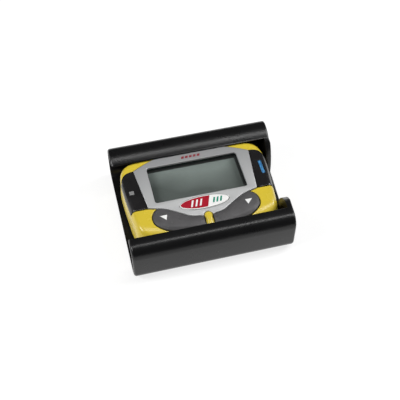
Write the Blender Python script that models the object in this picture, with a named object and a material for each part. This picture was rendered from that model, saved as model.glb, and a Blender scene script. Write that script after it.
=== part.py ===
"""Display pager with two wing keys, lying face up in an open-ended belt holster.

Metres, +Z up out of the display, +X to the right along the display, +Y towards its top edge.
The origin is the middle of the holster's flat back. The pager leaves the holster along -X.
"""
import math

import bmesh
import bpy

MM = 0.001
GAP = 0.3 * MM                      # running and assembly gap between neighbouring pieces
OVERRUN = 1.0 * MM                  # how far a cutter runs past the material it cuts
OVERLAP = 0.5 * MM                  # how deep two shapes reach into each other to become one body

# Holster: a sheet bent into a C, with a wall across its right end
HOLSTER_LEFT = -42.1 * MM
HOLSTER_RIGHT = 41.1 * MM           # outer face of the end wall on the centre line
END_SKEW = 0.06                     # the end wall stands this much further out per unit of Y
HOLSTER_REAR_Y = 35.3 * MM
HOLSTER_FRONT_Y = -35.9 * MM
HOLSTER_HEIGHT = 22.8 * MM
SHEET = 2.0 * MM
END_WALL = 2.8 * MM
ROLL_RADIUS = 6.0 * MM              # outer radius of all four bends of the C
FRONT_LIP_Y = -26.6 * MM
REAR_LIP_Y = 21.4 * MM
REAR_LIP_DROP = 2.0 * MM            # the rear lip curls down this much,
REAR_CURL_Y = 27.6 * MM             # starting here,
REAR_CURL_POWER = 1.7               # gently at first and steeper towards its end
REAR_LIP_UNDERSIDE_Z = 20.35 * MM
END_FILLET = 1.2 * MM
HOLSTER_ABOVE_Z = HOLSTER_HEIGHT + 5.0 * MM
SCOOP_X = (37.2 * MM, 46.1 * MM)        # the scoop's cutter crosses the whole wall
SCOOP_FLOOR = 2.6 * MM
REAR_CHEEK = (24.0 * MM, 11.0 * MM)     # Y of its top, width of its rounded edge
FRONT_CHEEK = (-27.0 * MM, 15.5 * MM)

# Pager case
PAGER_X = -1.1 * MM                 # the pager's middle in the holster
CASE_POINTS = [(0.0, -30.5), (13.0, -29.8), (24.0, -27.9), (31.5, -25.3), (35.3, -21.0), (36.4, -14.5),
               (37.1, -6.0), (37.8, 4.0), (37.9, 12.5), (36.8, 18.2), (33.9, 21.7), (29.0, 23.6),
               (15.0, 26.8), (0.0, 28.0)]       # right half of the barrel-shaped outline, in mm
CASE_HALF_WIDTH = 38.0 * MM
CASE_EDGE = 3.0 * MM                # rounding between the sides and the face or the back
CASE_DRAFT = 0.6 * MM               # the sides lean out this much towards the parting
EDGE_SOFTENING = (8.0 * MM, -17.0 * MM, 2.0)   # between these Y the rounding grows this much deeper
CASE_BACK_Z = SHEET + GAP
PARTING_Z = 6.0 * MM
FACE_Z = 19.6 * MM
CASE_WALL = 1.6 * MM
FLOOR_THICKNESS = 2.0 * MM
SKIN_UNDERSIDE_Z = 17.3 * MM
POST_RADIUS = 2.6 * MM              # round posts in the corners that take the screws

# Face: silver plate between two dark end panels
PLATE_TOP_Z = 20.0 * MM
PLATE_BOTTOM_Z = 18.9 * MM
RECESS_Z = PLATE_BOTTOM_Z - GAP
PLATE_CROWN_Y = 25.0 * MM           # middle of the arched top edge
PLATE_SMILE = [(0.0, -19.6), (7.5, -18.4), (12.5, -15.4), (19.5, -11.2), (27.8, -8.8)]   # in mm
PLATE_UPPER_CORNER = (30.6 * MM, 16.1 * MM)
PLATE_LOWER_CORNER = (27.8 * MM, -8.8 * MM)     # the smile's last point
PLATE_SEAT = 0.5 * MM               # the plate's recess is this much wider all round
PANEL_SIDE_X = 36.1 * MM            # outer lower corner
PANEL_SHOULDER = (36.9 * MM, 11.3 * MM)
PANEL_BOTTOM_Z = 18.3 * MM
PANEL_RISE = PLATE_TOP_Z - FACE_Z   # the panels follow the case's rounded edge this far above it
WINDOW = (23.7 * MM, -6.6 * MM, 16.5 * MM)     # half width, bottom, top
WINDOW_CORNER = 1.2 * MM
WINDOW_HOLE = 1.4 * MM              # the hole through the case is this much wider all round,
LENS_MARGIN = 1.0 * MM              # and the lens this much
EMBLEM_CENTRE = (0.0, -11.5 * MM)
EMBLEM_HALF = (12.4 * MM, 3.8 * MM)
LIGHT_BOX = (33.0 * MM, 34.8 * MM, -1.2 * MM, 8.2 * MM)
MARK_BOX = (-35.1 * MM, -32.7 * MM, 1.2 * MM, 3.6 * MM)

# Wing keys, described on the right-hand side and mirrored for the left
# The upper edge of their recess runs just under the plate's lower edge
WING_POINTS = [(1.9, -27.0), (8.0, -26.6), (14.5, -25.6), (21.5, -23.6), (26.2, -19.9), (27.3, -15.6),
               (26.1, -12.0), (23.2, -9.9), (19.5, -11.1), (12.5, -15.3), (7.5, -18.3), (1.9, -19.4)]
WING_TOP_Z = 20.4 * MM
WING_UNDERSIDE_Z = 18.9 * MM
WING_EDGE = 0.5 * MM
WING_GROOVE = 0.4 * MM
WING_RECESS_Z = 18.3 * MM
STEM = (19.5 * MM, -17.2 * MM)
STEM_RADIUS = 2.0 * MM
STEM_SLACK = 0.4 * MM
STEM_END_Z = 17.0 * MM
RIB_HALF_WIDTH = 1.7 * MM
RIB_Y = (-28.2 * MM, -17.6 * MM)
RIB_TOP_Z = 20.5 * MM

# Inside; a pair is (Y, Z) of an axis along X, or the two ends of a stretch
BATTERY_RADIUS = 5.15 * MM
BATTERY_X = (-29.0 * MM, 15.0 * MM)
BATTERY_AXIS = (-13.7 * MM, 9.7 * MM)
BATTERY_NUB = (1.9 * MM, 0.8 * MM)              # radius, length
CONTACT_HALF_WIDTH = 4.0 * MM
CONTACT_Z = (5.0 * MM, 14.0 * MM)
CONTACT_THICKNESS = 0.6 * MM
SPRING_TURNS = 4
SPRING_STEPS = 14                               # for each turn
SPRING_WIRE = 0.35 * MM
SPRING_FAR_X = -34.4 * MM
SPRING_RADII = (3.9 * MM, 2.3 * MM)             # at the case, at the cell
BOARD = (31.5 * MM, -8.0 * MM, 21.5 * MM, 11.2 * MM, 12.4 * MM)     # half width, Y, Y, Z, Z
BOARD_SHOULDER = (25.0 * MM, 15.0 * MM)
KEY_BOARD = (25.5 * MM, -25.5 * MM, -10.0 * MM, 15.2 * MM, 15.9 * MM)
DOME_RINGS = [(2.6 * MM, 0.05 * MM), (2.3 * MM, 0.3 * MM), (1.2 * MM, 0.45 * MM)]
BACKLIGHT_THICKNESS = 1.6 * MM
GLASS_THICKNESS = 1.8 * MM
FRAME_MARGIN = 1.3 * MM
SHIELD_BOX = (-29.0 * MM, -7.0 * MM, -6.0 * MM, 14.0 * MM)
SHIELD_HEIGHT = 4.5 * MM
SHIELD_WALL = 0.6 * MM
CHIP_BOX = (-3.0 * MM, 9.0 * MM, -2.0 * MM, 10.0 * MM)
CHIP_HEIGHT = 1.4 * MM
CRYSTAL_BOX = (12.0 * MM, 20.0 * MM, 5.0 * MM, 9.0 * MM)
CRYSTAL_ROUND = 1.9 * MM
CRYSTAL_HEIGHT = 3.2 * MM
LED_BOX = (29.0 * MM, 31.0 * MM, 2.5 * MM, 4.5 * MM)
LED_HEIGHT = 1.0 * MM
ANTENNA_AXIS = (21.0 * MM, 7.8 * MM)
ROD_RADIUS = 1.6 * MM
ROD_HALF = 24.0 * MM
COIL_RADIUS = 2.4 * MM
COIL_HALF = 14.0 * MM
COIL_SLACK = 0.2 * MM
BUZZER_PLACE = (4.0 * MM, 4.0 * MM)
BUZZER_SIZE = (5.5 * MM, 2.4 * MM)              # radius, height
MOTOR_AXIS = (12.5 * MM, 7.0 * MM)
MOTOR_RADIUS = 2.3 * MM
MOTOR_X = (18.0 * MM, 27.0 * MM)
DOOR_X = (-35.8 * MM, 15.0 * MM)
DOOR_HALF_WIDTH = 5.6 * MM
DOOR_TONGUE = 0.7 * MM
DOOR_STEP_Z = 3.0 * MM
DOOR_TOP_Z = 3.8 * MM
GRIP_COUNT = 5
GRIP_PITCH = 1.6 * MM
GRIP_SIZE = (0.7 * MM, 4.0 * MM, 0.4 * MM)      # width, half length, depth
GRIP_START = 4.0 * MM                           # from the door's outer end
JACK_Y = 2.0 * MM
JACK_Z = 6.6 * MM
JACK_RADIUS = 2.0 * MM
JACK_BORE = 1.3 * MM
JACK_SLACK = 0.2 * MM
JACK_BODY_X = (25.0 * MM, 35.0 * MM)
JACK_BODY_HALF = 2.9 * MM
JACK_BODY_Z = (4.6 * MM, 8.9 * MM)
JACK_WALL_X = CASE_HALF_WIDTH - 3.0 * MM        # the case's hole for the jack starts here
SCREW_PLACES = [(28.6 * MM, -22.5 * MM), (31.3 * MM, 18.4 * MM)]
SCREW_HEAD = (1.9 * MM, 1.4 * MM)
SCREW_SHANK = 1.0 * MM
SCREW_THREAD_SLACK = 0.15 * MM
SCREW_HOLE_SLACK = 0.2 * MM
SCREW_LIFT = 0.1 * MM                           # the head sits this deep in the back
SCREW_CROSS = (1.3 * MM, 0.3 * MM, 0.6 * MM)    # arm, half width, depth
SCREW_TOP_Z = 15.0 * MM

ARC_STEPS = 6
SMOOTH_ANGLE = math.radians(35)


# ---------------------------------------------------------------- materials

def linear(value):
    """One sRGB channel, 0 to 255, as linear light."""
    share = value / 255
    return share / 12.92 if share <= 0.04045 else ((share + 0.055) / 1.055) ** 2.4


def material(name, colour, roughness, metallic=0.0, transmission=0.0):
    """A Principled material from an sRGB colour."""
    made = bpy.data.materials.new(name)
    made.use_nodes = True
    shader = made.node_tree.nodes["Principled BSDF"]
    shader.inputs["Base Color"].default_value = [linear(channel) for channel in colour] + [1.0]
    shader.inputs["Roughness"].default_value = roughness
    shader.inputs["Metallic"].default_value = metallic
    shader.inputs["Transmission Weight"].default_value = transmission
    return made


# ---------------------------------------------------------------- outlines

def arc(centre_x, centre_y, radius_x, radius_y, start, end, steps=ARC_STEPS):
    """Points along an ellipse's arc, angles in degrees, both ends included."""
    points = []
    for step in range(steps + 1):
        angle = math.radians(start + (end - start) * step / steps)
        points.append((centre_x + radius_x * math.cos(angle), centre_y + radius_y * math.sin(angle)))
    return points


def rounded_box(x0, x1, y0, y1, radius, steps=ARC_STEPS):
    """A rectangle with round corners, counter-clockwise."""
    points = []
    corners = [(x1, y0, -90), (x1, y1, 0), (x0, y1, 90), (x0, y0, 180)]
    for corner_x, corner_y, start in corners:
        inner_x = corner_x - radius if corner_x == x1 else corner_x + radius
        inner_y = corner_y - radius if corner_y == y1 else corner_y + radius
        points += arc(inner_x, inner_y, radius, radius, start, start + 90, steps)
    return points


def box_outline(x0, x1, y0, y1):
    return [(x0, y0), (x1, y0), (x1, y1), (x0, y1)]


def spline_point(before, start, end, after, t):
    """A point on the Catmull-Rom segment from start to end, t from 0 to 1."""
    return tuple(
        0.5 * (2 * start[k] + (end[k] - before[k]) * t
               + (2 * before[k] - 5 * start[k] + 4 * end[k] - after[k]) * t ** 2
               + (3 * start[k] - before[k] - 3 * end[k] + after[k]) * t ** 3)
        for k in range(2))


def smooth_path(points, steps):
    """An open Catmull-Rom curve through the points."""
    padded = [points[0]] + list(points) + [points[-1]]
    path = []
    for index in range(1, len(padded) - 2):
        before, start, end, after = padded[index - 1:index + 3]
        path += [spline_point(before, start, end, after, step / steps) for step in range(steps)]
    path.append(points[-1])
    return path


def closed_path(points, steps):
    """A closed Catmull-Rom curve through the points."""
    count = len(points)
    path = []
    for index in range(count):
        before, start, end, after = [points[(index + shift) % count] for shift in (-1, 0, 1, 2)]
        path += [spline_point(before, start, end, after, step / steps) for step in range(steps)]
    return path


def grown(outline, distance):
    """A counter-clockwise outline moved outwards by distance."""
    points = []
    count = len(outline)
    for index in range(count):
        x_before, y_before = outline[index - 1]
        x, y = outline[index]
        x_after, y_after = outline[(index + 1) % count]
        first = math.atan2(y - y_before, x - x_before) - math.pi / 2
        second = math.atan2(y_after - y, x_after - x) - math.pi / 2
        normal_x = math.cos(first) + math.cos(second)
        normal_y = math.sin(first) + math.sin(second)
        length_squared = normal_x ** 2 + normal_y ** 2
        scale = 2 * distance / max(length_squared, 0.5)
        points.append((x + normal_x * scale, y + normal_y * scale))
    return points


def mirrored(outline):
    """The outline reflected in X, still counter-clockwise."""
    return [(-x, y) for x, y in reversed(outline)]


# ---------------------------------------------------------------- solids

def extruded(mesh, outline, low, high, place):
    """Add a prism to mesh; place turns (u, v, w) with w from low to high into x, y, z."""
    bottom = [mesh.verts.new(place(u, v, low)) for u, v in outline]
    top = [mesh.verts.new(place(u, v, high)) for u, v in outline]
    mesh.faces.new(list(reversed(bottom)))
    mesh.faces.new(top)
    count = len(outline)
    for index in range(count):
        after = (index + 1) % count
        mesh.faces.new((bottom[index], bottom[after], top[after], top[index]))


def upright(x, y, z):
    return (x, y, z)


def along_x(y, z, x):
    return (x, y, z)


def rounding(radius, steps=4):
    """(inset, height) pairs of a rounded edge, from the side wall up to the face."""
    return [(radius * (1 - math.cos(math.pi / 2 * step / steps)),
             radius * math.sin(math.pi / 2 * step / steps)) for step in range(steps + 1)]


def lofted(mesh, rings):
    """Add a solid through rings of points, each ring (outline, level, place)."""
    loops = [[mesh.verts.new(place(u, v, level)) for u, v in outline] for outline, level, place in rings]
    mesh.faces.new(list(reversed(loops[0])))
    mesh.faces.new(loops[-1])
    count = len(loops[0])
    for lower, upper in zip(loops, loops[1:]):
        for index in range(count):
            after = (index + 1) % count
            mesh.faces.new((lower[index], lower[after], upper[after], upper[index]))


def finished(name, mesh, look, parent, origin=(0.0, 0.0, 0.0)):
    """Turn mesh into an object under parent, its own origin at the given point."""
    bmesh.ops.remove_doubles(mesh, verts=mesh.verts, dist=1e-7)
    bmesh.ops.recalc_face_normals(mesh, faces=mesh.faces)
    bmesh.ops.translate(mesh, verts=mesh.verts, vec=[-value for value in origin])
    data = bpy.data.meshes.new(name)
    mesh.to_mesh(data)
    mesh.free()
    data.shade_smooth()
    data.set_sharp_from_angle(angle=SMOOTH_ANGLE)
    made = bpy.data.objects.new(name, data)
    bpy.context.scene.collection.objects.link(made)
    made.parent = parent
    made.location = origin
    if look is not None:
        data.materials.append(look)
    return made


def prism(name, outline, z0, z1, look, parent, origin=(0.0, 0.0, 0.0)):
    """A plain upright plate."""
    mesh = bmesh.new()
    extruded(mesh, outline, z0, z1, upright)
    return finished(name, mesh, look, parent, origin)


def rod(mesh, centre_y, centre_z, radius, x0, x1, sides=24):
    """Add a round bar along X."""
    outline = arc(centre_y, centre_z, radius, radius, 0, 360 - 360 / sides, sides - 1)
    extruded(mesh, outline, x0, x1, along_x)


def post(mesh, centre_x, centre_y, radius, z0, z1, sides=20):
    """Add an upright round bar."""
    outline = arc(centre_x, centre_y, radius, radius, 0, 360 - 360 / sides, sides - 1)
    extruded(mesh, outline, z0, z1, upright)


def cut(target, name, mesh):
    """Take the shapes in mesh out of target."""
    cutter = finished(name, mesh, None, target.parent)
    cutter.hide_render = True
    cutter.display_type = "WIRE"
    difference = target.modifiers.new(name, "BOOLEAN")
    difference.operation = "DIFFERENCE"
    difference.solver = "EXACT"
    difference.object = cutter


def joined(target, name, mesh):
    """Add the shapes in mesh to target as one body."""
    addition = finished(name, mesh, None, target.parent)
    addition.hide_render = True
    addition.display_type = "WIRE"
    union = target.modifiers.new(name, "BOOLEAN")
    union.operation = "UNION"
    union.solver = "EXACT"
    union.object = addition


def empty(name, location, parent=None):
    """A plain-axes marker that a group of pieces hangs from."""
    made = bpy.data.objects.new(name, None)
    bpy.context.scene.collection.objects.link(made)
    made.empty_display_size = 10 * MM
    made.location = location
    made.parent = parent
    return made


# ---------------------------------------------------------------- holster

def holster_shell(looks, parent):
    """The bent sheet with its end wall and the finger scoop between the wall's two cheeks."""
    rear = HOLSTER_REAR_Y - ROLL_RADIUS
    front = HOLSTER_FRONT_Y + ROLL_RADIUS
    low = ROLL_RADIUS
    high = HOLSTER_HEIGHT - ROLL_RADIUS

    def skewed(y, z, x):
        return (x + (END_SKEW * y if x > 0 else 0.0), y, z)

    outer = arc(front, low, ROLL_RADIUS, ROLL_RADIUS, 180, 270)
    outer += arc(rear, low, ROLL_RADIUS, ROLL_RADIUS, 270, 360)
    outer += arc(rear, high, ROLL_RADIUS, ROLL_RADIUS, 0, 90)
    for share in (0.0, 0.5, 1.0):
        outer.append((REAR_CURL_Y + (REAR_LIP_Y - REAR_CURL_Y) * share,
                      HOLSTER_HEIGHT - REAR_LIP_DROP * share ** REAR_CURL_POWER))
    outer += [(FRONT_LIP_Y, HOLSTER_HEIGHT)]
    outer += arc(front, high, ROLL_RADIUS, ROLL_RADIUS, 90, 180)
    mesh = bmesh.new()
    rings = [(outer, HOLSTER_LEFT, skewed)]
    for inset, rise in rounding(END_FILLET):
        rings.append((grown(outer, -inset), HOLSTER_RIGHT - END_FILLET + rise, skewed))
    lofted(mesh, rings)
    shell = finished("holster_shell", mesh, looks["holster"], parent)

    inner_radius = ROLL_RADIUS - SHEET
    inner = arc(front, low, inner_radius, inner_radius, 180, 270)
    inner += arc(rear, low, inner_radius, inner_radius, 270, 360)
    inner += arc(rear, high, inner_radius, inner_radius, 0, 90)
    inner += [(REAR_LIP_Y, REAR_LIP_UNDERSIDE_Z), (REAR_LIP_Y, HOLSTER_ABOVE_Z)]
    inner += [(FRONT_LIP_Y, HOLSTER_ABOVE_Z), (FRONT_LIP_Y, HOLSTER_HEIGHT - SHEET)]
    inner += arc(front, high, inner_radius, inner_radius, 90, 180)
    mesh = bmesh.new()
    extruded(mesh, inner, HOLSTER_LEFT - OVERRUN, HOLSTER_RIGHT - END_WALL, skewed)
    cut(shell, "holster_cavity_cutter", mesh)

    rear_y, rear_width = REAR_CHEEK
    front_y, front_width = FRONT_CHEEK
    cheek_height = HOLSTER_HEIGHT - SCOOP_FLOOR
    scoop = arc(rear_y, SCOOP_FLOOR, rear_width, cheek_height, 180, 90, 8)
    scoop += [(rear_y, HOLSTER_ABOVE_Z), (front_y, HOLSTER_ABOVE_Z)]
    scoop += arc(front_y, SCOOP_FLOOR, front_width, cheek_height, 90, 0, 8)
    mesh = bmesh.new()
    extruded(mesh, scoop, SCOOP_X[0], SCOOP_X[1], along_x)
    cut(shell, "finger_scoop_cutter", mesh)


# ---------------------------------------------------------------- pager outlines

def case_outline(inset=0.0):
    """Barrel-shaped outline of the case, moved inwards by inset."""
    right = [(x * MM, y * MM) for x, y in CASE_POINTS]
    return grown(closed_path(right + mirrored(right)[1:-1], 3), -inset)


def screw_places():
    """Centres of the four screws."""
    return [(side * x, y) for side in (-1, 1) for x, y in SCREW_PLACES]


def case_dome(rise):
    """Rings of a body with the case's sides and its rounded upper edge, the edge raised by rise."""
    top = FACE_Z + rise
    start_y, end_y, growth = EDGE_SOFTENING

    def softened(x, y, z):
        share = min(max((start_y - y) / (start_y - end_y), 0.0), 1.0)
        return (x, y, top - (top - z) * (1 + (growth - 1) * share))

    rings = [(case_outline(-CASE_DRAFT), PARTING_Z + GAP, upright)]
    for inset, height in rounding(CASE_EDGE):
        rings.append((case_outline(inset), top - CASE_EDGE + height, softened))
    return rings


def crown_height(x):
    """Y of the plate's arched top edge."""
    corner_x, corner_y = PLATE_UPPER_CORNER
    return PLATE_CROWN_Y - (PLATE_CROWN_Y - corner_y) * (x / corner_x) ** 2


def plate_outline():
    """The silver plate: arched top, waisted sides and a smile-shaped lower edge."""
    upper_x = PLATE_UPPER_CORNER[0]
    smile = smooth_path([(x * MM, y * MM) for x, y in PLATE_SMILE], 4)
    crown = [(upper_x * (1 - step / 8), crown_height(upper_x * (1 - step / 8))) for step in range(9)]
    right = smile + crown
    left = [(-x, y) for x, y in reversed(right)]
    return right + left[1:-1]


def panel_outline():
    """The right-hand end panel; the left one is its mirror image."""
    upper_x, upper_y = PLATE_UPPER_CORNER
    lower_x, lower_y = PLATE_LOWER_CORNER
    shoulder_x, shoulder_y = PANEL_SHOULDER
    shoulder = arc(upper_x + GAP, shoulder_y, shoulder_x - upper_x - GAP, upper_y - shoulder_y, 0, 90)
    return [(lower_x + GAP, lower_y), (PANEL_SIDE_X, lower_y)] + shoulder


def wing_outline(margin=0.0):
    """The right wing's recess, moved outwards by margin."""
    return grown(smooth_path([(x * MM, y * MM) for x, y in WING_POINTS], 3), margin)


def window_outline(margin=0.0):
    half, bottom, top = WINDOW
    return rounded_box(-half - margin, half + margin, bottom - margin, top + margin, WINDOW_CORNER, 3)


def emblem_outline(margin=0.0):
    centre_x, centre_y = EMBLEM_CENTRE
    return arc(centre_x, centre_y, EMBLEM_HALF[0] + margin, EMBLEM_HALF[1] + margin, 0, 350, 35)


# ---------------------------------------------------------------- pager case

def front_case(looks, parent):
    """The yellow shell with its pockets for the plate, panels, keys, window and screws."""
    mesh = bmesh.new()
    lofted(mesh, case_dome(0.0))
    case = finished("front_case", mesh, looks["yellow"], parent)

    mesh = bmesh.new()
    extruded(mesh, case_outline(CASE_WALL), PARTING_Z - OVERRUN, SKIN_UNDERSIDE_Z, upright)
    cut(case, "front_cavity_cutter", mesh)
    mesh = bmesh.new()
    for x, y in screw_places():
        post(mesh, x, y, POST_RADIUS, PARTING_Z + GAP, SKIN_UNDERSIDE_Z + GAP)
    joined(case, "front_screw_posts", mesh)
    mesh = bmesh.new()
    for x, y in screw_places():
        post(mesh, x, y, SCREW_SHANK + SCREW_THREAD_SLACK, PARTING_Z - OVERRUN, SCREW_TOP_Z + GAP, 16)
    rod(mesh, JACK_Y, JACK_Z, JACK_RADIUS + JACK_SLACK, JACK_WALL_X, CASE_HALF_WIDTH + OVERRUN)
    cut(case, "front_hole_cutter", mesh)

    mesh = bmesh.new()
    extruded(mesh, grown(plate_outline(), PLATE_SEAT), RECESS_Z, FACE_Z + OVERRUN, upright)
    cut(case, "plate_recess_cutter", mesh)
    for name, outline in (("right", panel_outline()), ("left", mirrored(panel_outline()))):
        mesh = bmesh.new()
        extruded(mesh, grown(outline, GAP), PANEL_BOTTOM_Z - GAP, FACE_Z + OVERRUN, upright)
        cut(case, name + "_panel_recess_cutter", mesh)
    for name, outline in (("right", wing_outline()), ("left", mirrored(wing_outline()))):
        mesh = bmesh.new()
        extruded(mesh, outline, WING_RECESS_Z, FACE_Z + OVERRUN, upright)
        cut(case, name + "_wing_recess_cutter", mesh)

    mesh = bmesh.new()
    extruded(mesh, window_outline(WINDOW_HOLE), SKIN_UNDERSIDE_Z - OVERRUN, RECESS_Z + OVERRUN, upright)
    for x in (-STEM[0], STEM[0]):
        post(mesh, x, STEM[1], STEM_RADIUS + STEM_SLACK, SKIN_UNDERSIDE_Z - OVERRUN, FACE_Z)
    cut(case, "window_and_stem_cutter", mesh)


def rear_case(looks, parent):
    """The dark tray: battery opening with grooves for the door, screw holes and the jack's hole."""
    mesh = bmesh.new()
    rings = []
    for inset, rise in reversed(rounding(CASE_EDGE)):
        rings.append((case_outline(inset - CASE_DRAFT), CASE_BACK_Z + CASE_EDGE - rise, upright))
    rings.append((case_outline(-CASE_DRAFT), PARTING_Z, upright))
    lofted(mesh, rings)
    case = finished("rear_case", mesh, looks["black"], parent)

    floor_z = CASE_BACK_Z + FLOOR_THICKNESS
    mesh = bmesh.new()
    extruded(mesh, case_outline(CASE_WALL), floor_z, PARTING_Z + OVERRUN, upright)
    cut(case, "rear_cavity_cutter", mesh)
    mesh = bmesh.new()
    for x, y in screw_places():
        post(mesh, x, y, POST_RADIUS, floor_z - OVERLAP, PARTING_Z)
    joined(case, "rear_screw_posts", mesh)

    mesh = bmesh.new()
    for x, y in screw_places():
        post(mesh, x, y, SCREW_SHANK + SCREW_HOLE_SLACK, CASE_BACK_Z + SCREW_HEAD[1],
             PARTING_Z + OVERRUN, 16)
    cut(case, "shank_hole_cutter", mesh)
    mesh = bmesh.new()
    for x, y in screw_places():
        post(mesh, x, y, SCREW_HEAD[0] + GAP, CASE_BACK_Z - OVERRUN, CASE_BACK_Z + SCREW_HEAD[1] + GAP)
    rod(mesh, JACK_Y, JACK_Z, JACK_RADIUS + JACK_SLACK, JACK_WALL_X, CASE_HALF_WIDTH + OVERRUN)
    cut(case, "screw_head_and_jack_cutter", mesh)

    centre_y = BATTERY_AXIS[0]
    x0 = -CASE_HALF_WIDTH - OVERRUN
    x1 = DOOR_X[1] + GAP
    wide = DOOR_HALF_WIDTH + DOOR_TONGUE + GAP
    narrow = DOOR_HALF_WIDTH + GAP
    mesh = bmesh.new()
    extruded(mesh, box_outline(x0, x1, centre_y - wide, centre_y + wide),
             DOOR_STEP_Z - GAP, DOOR_TOP_Z + OVERRUN, upright)
    cut(case, "door_groove_cutter", mesh)
    mesh = bmesh.new()
    extruded(mesh, box_outline(x0, x1, centre_y - narrow, centre_y + narrow),
             CASE_BACK_Z - OVERRUN, DOOR_STEP_Z, upright)
    cut(case, "door_opening_cutter", mesh)


def battery_door(looks, parent):
    """Sliding lid of the battery opening, with a tongue along each side and grip ridges."""
    centre_y = BATTERY_AXIS[0]
    x0, x1 = DOOR_X
    wide = DOOR_HALF_WIDTH + DOOR_TONGUE
    section = [(centre_y - DOOR_HALF_WIDTH, CASE_BACK_Z), (centre_y + DOOR_HALF_WIDTH, CASE_BACK_Z),
               (centre_y + DOOR_HALF_WIDTH, DOOR_STEP_Z), (centre_y + wide, DOOR_STEP_Z),
               (centre_y + wide, DOOR_TOP_Z), (centre_y - wide, DOOR_TOP_Z),
               (centre_y - wide, DOOR_STEP_Z), (centre_y - DOOR_HALF_WIDTH, DOOR_STEP_Z)]
    mesh = bmesh.new()
    extruded(mesh, section, x0, x1, along_x)
    door = finished("battery_door", mesh, looks["black"], parent)
    width, half, depth = GRIP_SIZE
    mesh = bmesh.new()
    for index in range(GRIP_COUNT):
        x = x0 + GRIP_START + GRIP_PITCH * index
        extruded(mesh, box_outline(x, x + width, centre_y - half, centre_y + half),
                 CASE_BACK_Z - OVERRUN, CASE_BACK_Z + depth, upright)
    cut(door, "door_grip_cutter", mesh)


def case_screws(looks, parent):
    """Four screws driven from the back into the front case's corner posts."""
    radius, depth = SCREW_HEAD
    base = CASE_BACK_Z + SCREW_LIFT
    arm, slot, cross_depth = SCREW_CROSS
    for number, (x, y) in enumerate(screw_places(), 1):
        mesh = bmesh.new()
        post(mesh, x, y, radius, base, base + depth - SCREW_LIFT)
        screw = finished("case_screw_" + str(number), mesh, looks["steel"], parent)
        mesh = bmesh.new()
        post(mesh, x, y, SCREW_SHANK - SCREW_LIFT, base + depth / 2, SCREW_TOP_Z, 12)
        joined(screw, "screw_shank_" + str(number), mesh)
        mesh = bmesh.new()
        cross = [(x - arm, y - slot), (x - slot, y - slot), (x - slot, y - arm), (x + slot, y - arm),
                 (x + slot, y - slot), (x + arm, y - slot), (x + arm, y + slot), (x + slot, y + slot),
                 (x + slot, y + arm), (x - slot, y + arm), (x - slot, y + slot), (x - arm, y + slot)]
        extruded(mesh, cross, base - OVERRUN, base + cross_depth, upright)
        cut(screw, "screw_cross_" + str(number), mesh)


# ---------------------------------------------------------------- pager face

def end_panel(side, outline, looks, parent):
    """A dark end panel, trimmed to follow the case's rounded edge just above it."""
    panel = prism(side + "_panel", outline, PANEL_BOTTOM_Z, PLATE_TOP_Z + OVERRUN, looks["panel"], parent)
    mesh = bmesh.new()
    lofted(mesh, case_dome(PANEL_RISE))
    trim = finished(side + "_panel_trimmer", mesh, None, parent)
    trim.hide_render = True
    trim.display_type = "WIRE"
    common = panel.modifiers.new("trim", "BOOLEAN")
    common.operation = "INTERSECT"
    common.solver = "EXACT"
    common.object = trim
    return panel


def face_pieces(looks, parent):
    """Silver plate, end panels, window, emblem, light, mark and the rib between the keys."""
    plate = prism("face_plate", plate_outline(), PLATE_BOTTOM_Z, PLATE_TOP_Z, looks["silver"], parent)
    mesh = bmesh.new()
    rib_slot = box_outline(-RIB_HALF_WIDTH - GAP, RIB_HALF_WIDTH + GAP, RIB_Y[0], RIB_Y[1] + GAP)
    for outline in (window_outline(), emblem_outline(GAP), rib_slot):
        extruded(mesh, outline, PLATE_BOTTOM_Z - OVERRUN, PLATE_TOP_Z + OVERRUN, upright)
    cut(plate, "plate_opening_cutter", mesh)

    light_panel = end_panel("right", panel_outline(), looks, parent)
    mark_panel = end_panel("left", mirrored(panel_outline()), looks, parent)
    for name, panel, box, rise, look in (("status_light", light_panel, LIGHT_BOX, 0.1 * MM, "blue"),
                                         ("panel_mark", mark_panel, MARK_BOX, 0.05 * MM, "silver")):
        x0, x1, y0, y1 = box
        mesh = bmesh.new()
        extruded(mesh, box_outline(x0 - GAP, x1 + GAP, y0 - GAP, y1 + GAP),
                 PANEL_BOTTOM_Z - OVERRUN, PLATE_TOP_Z + OVERRUN, upright)
        cut(panel, name + "_slot_cutter", mesh)
        prism(name, box_outline(x0, x1, y0, y1), PLATE_BOTTOM_Z, PLATE_TOP_Z + rise, looks[look], parent)

    prism("emblem", emblem_outline(), PLATE_BOTTOM_Z, PLATE_TOP_Z + 0.1 * MM, looks["red"], parent)
    prism("display_lens", window_outline(LENS_MARGIN), SKIN_UNDERSIDE_Z - GAP, RECESS_Z,
          looks["lens"], parent)
    rib = arc(0.0, RIB_Y[1] - RIB_HALF_WIDTH, RIB_HALF_WIDTH, RIB_HALF_WIDTH, 0, 180, 8)
    rib += [(-RIB_HALF_WIDTH, RIB_Y[0]), (RIB_HALF_WIDTH, RIB_Y[0])]
    prism("centre_rib", rib, FACE_Z + GAP, RIB_TOP_Z, looks["yellow"], parent)


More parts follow.
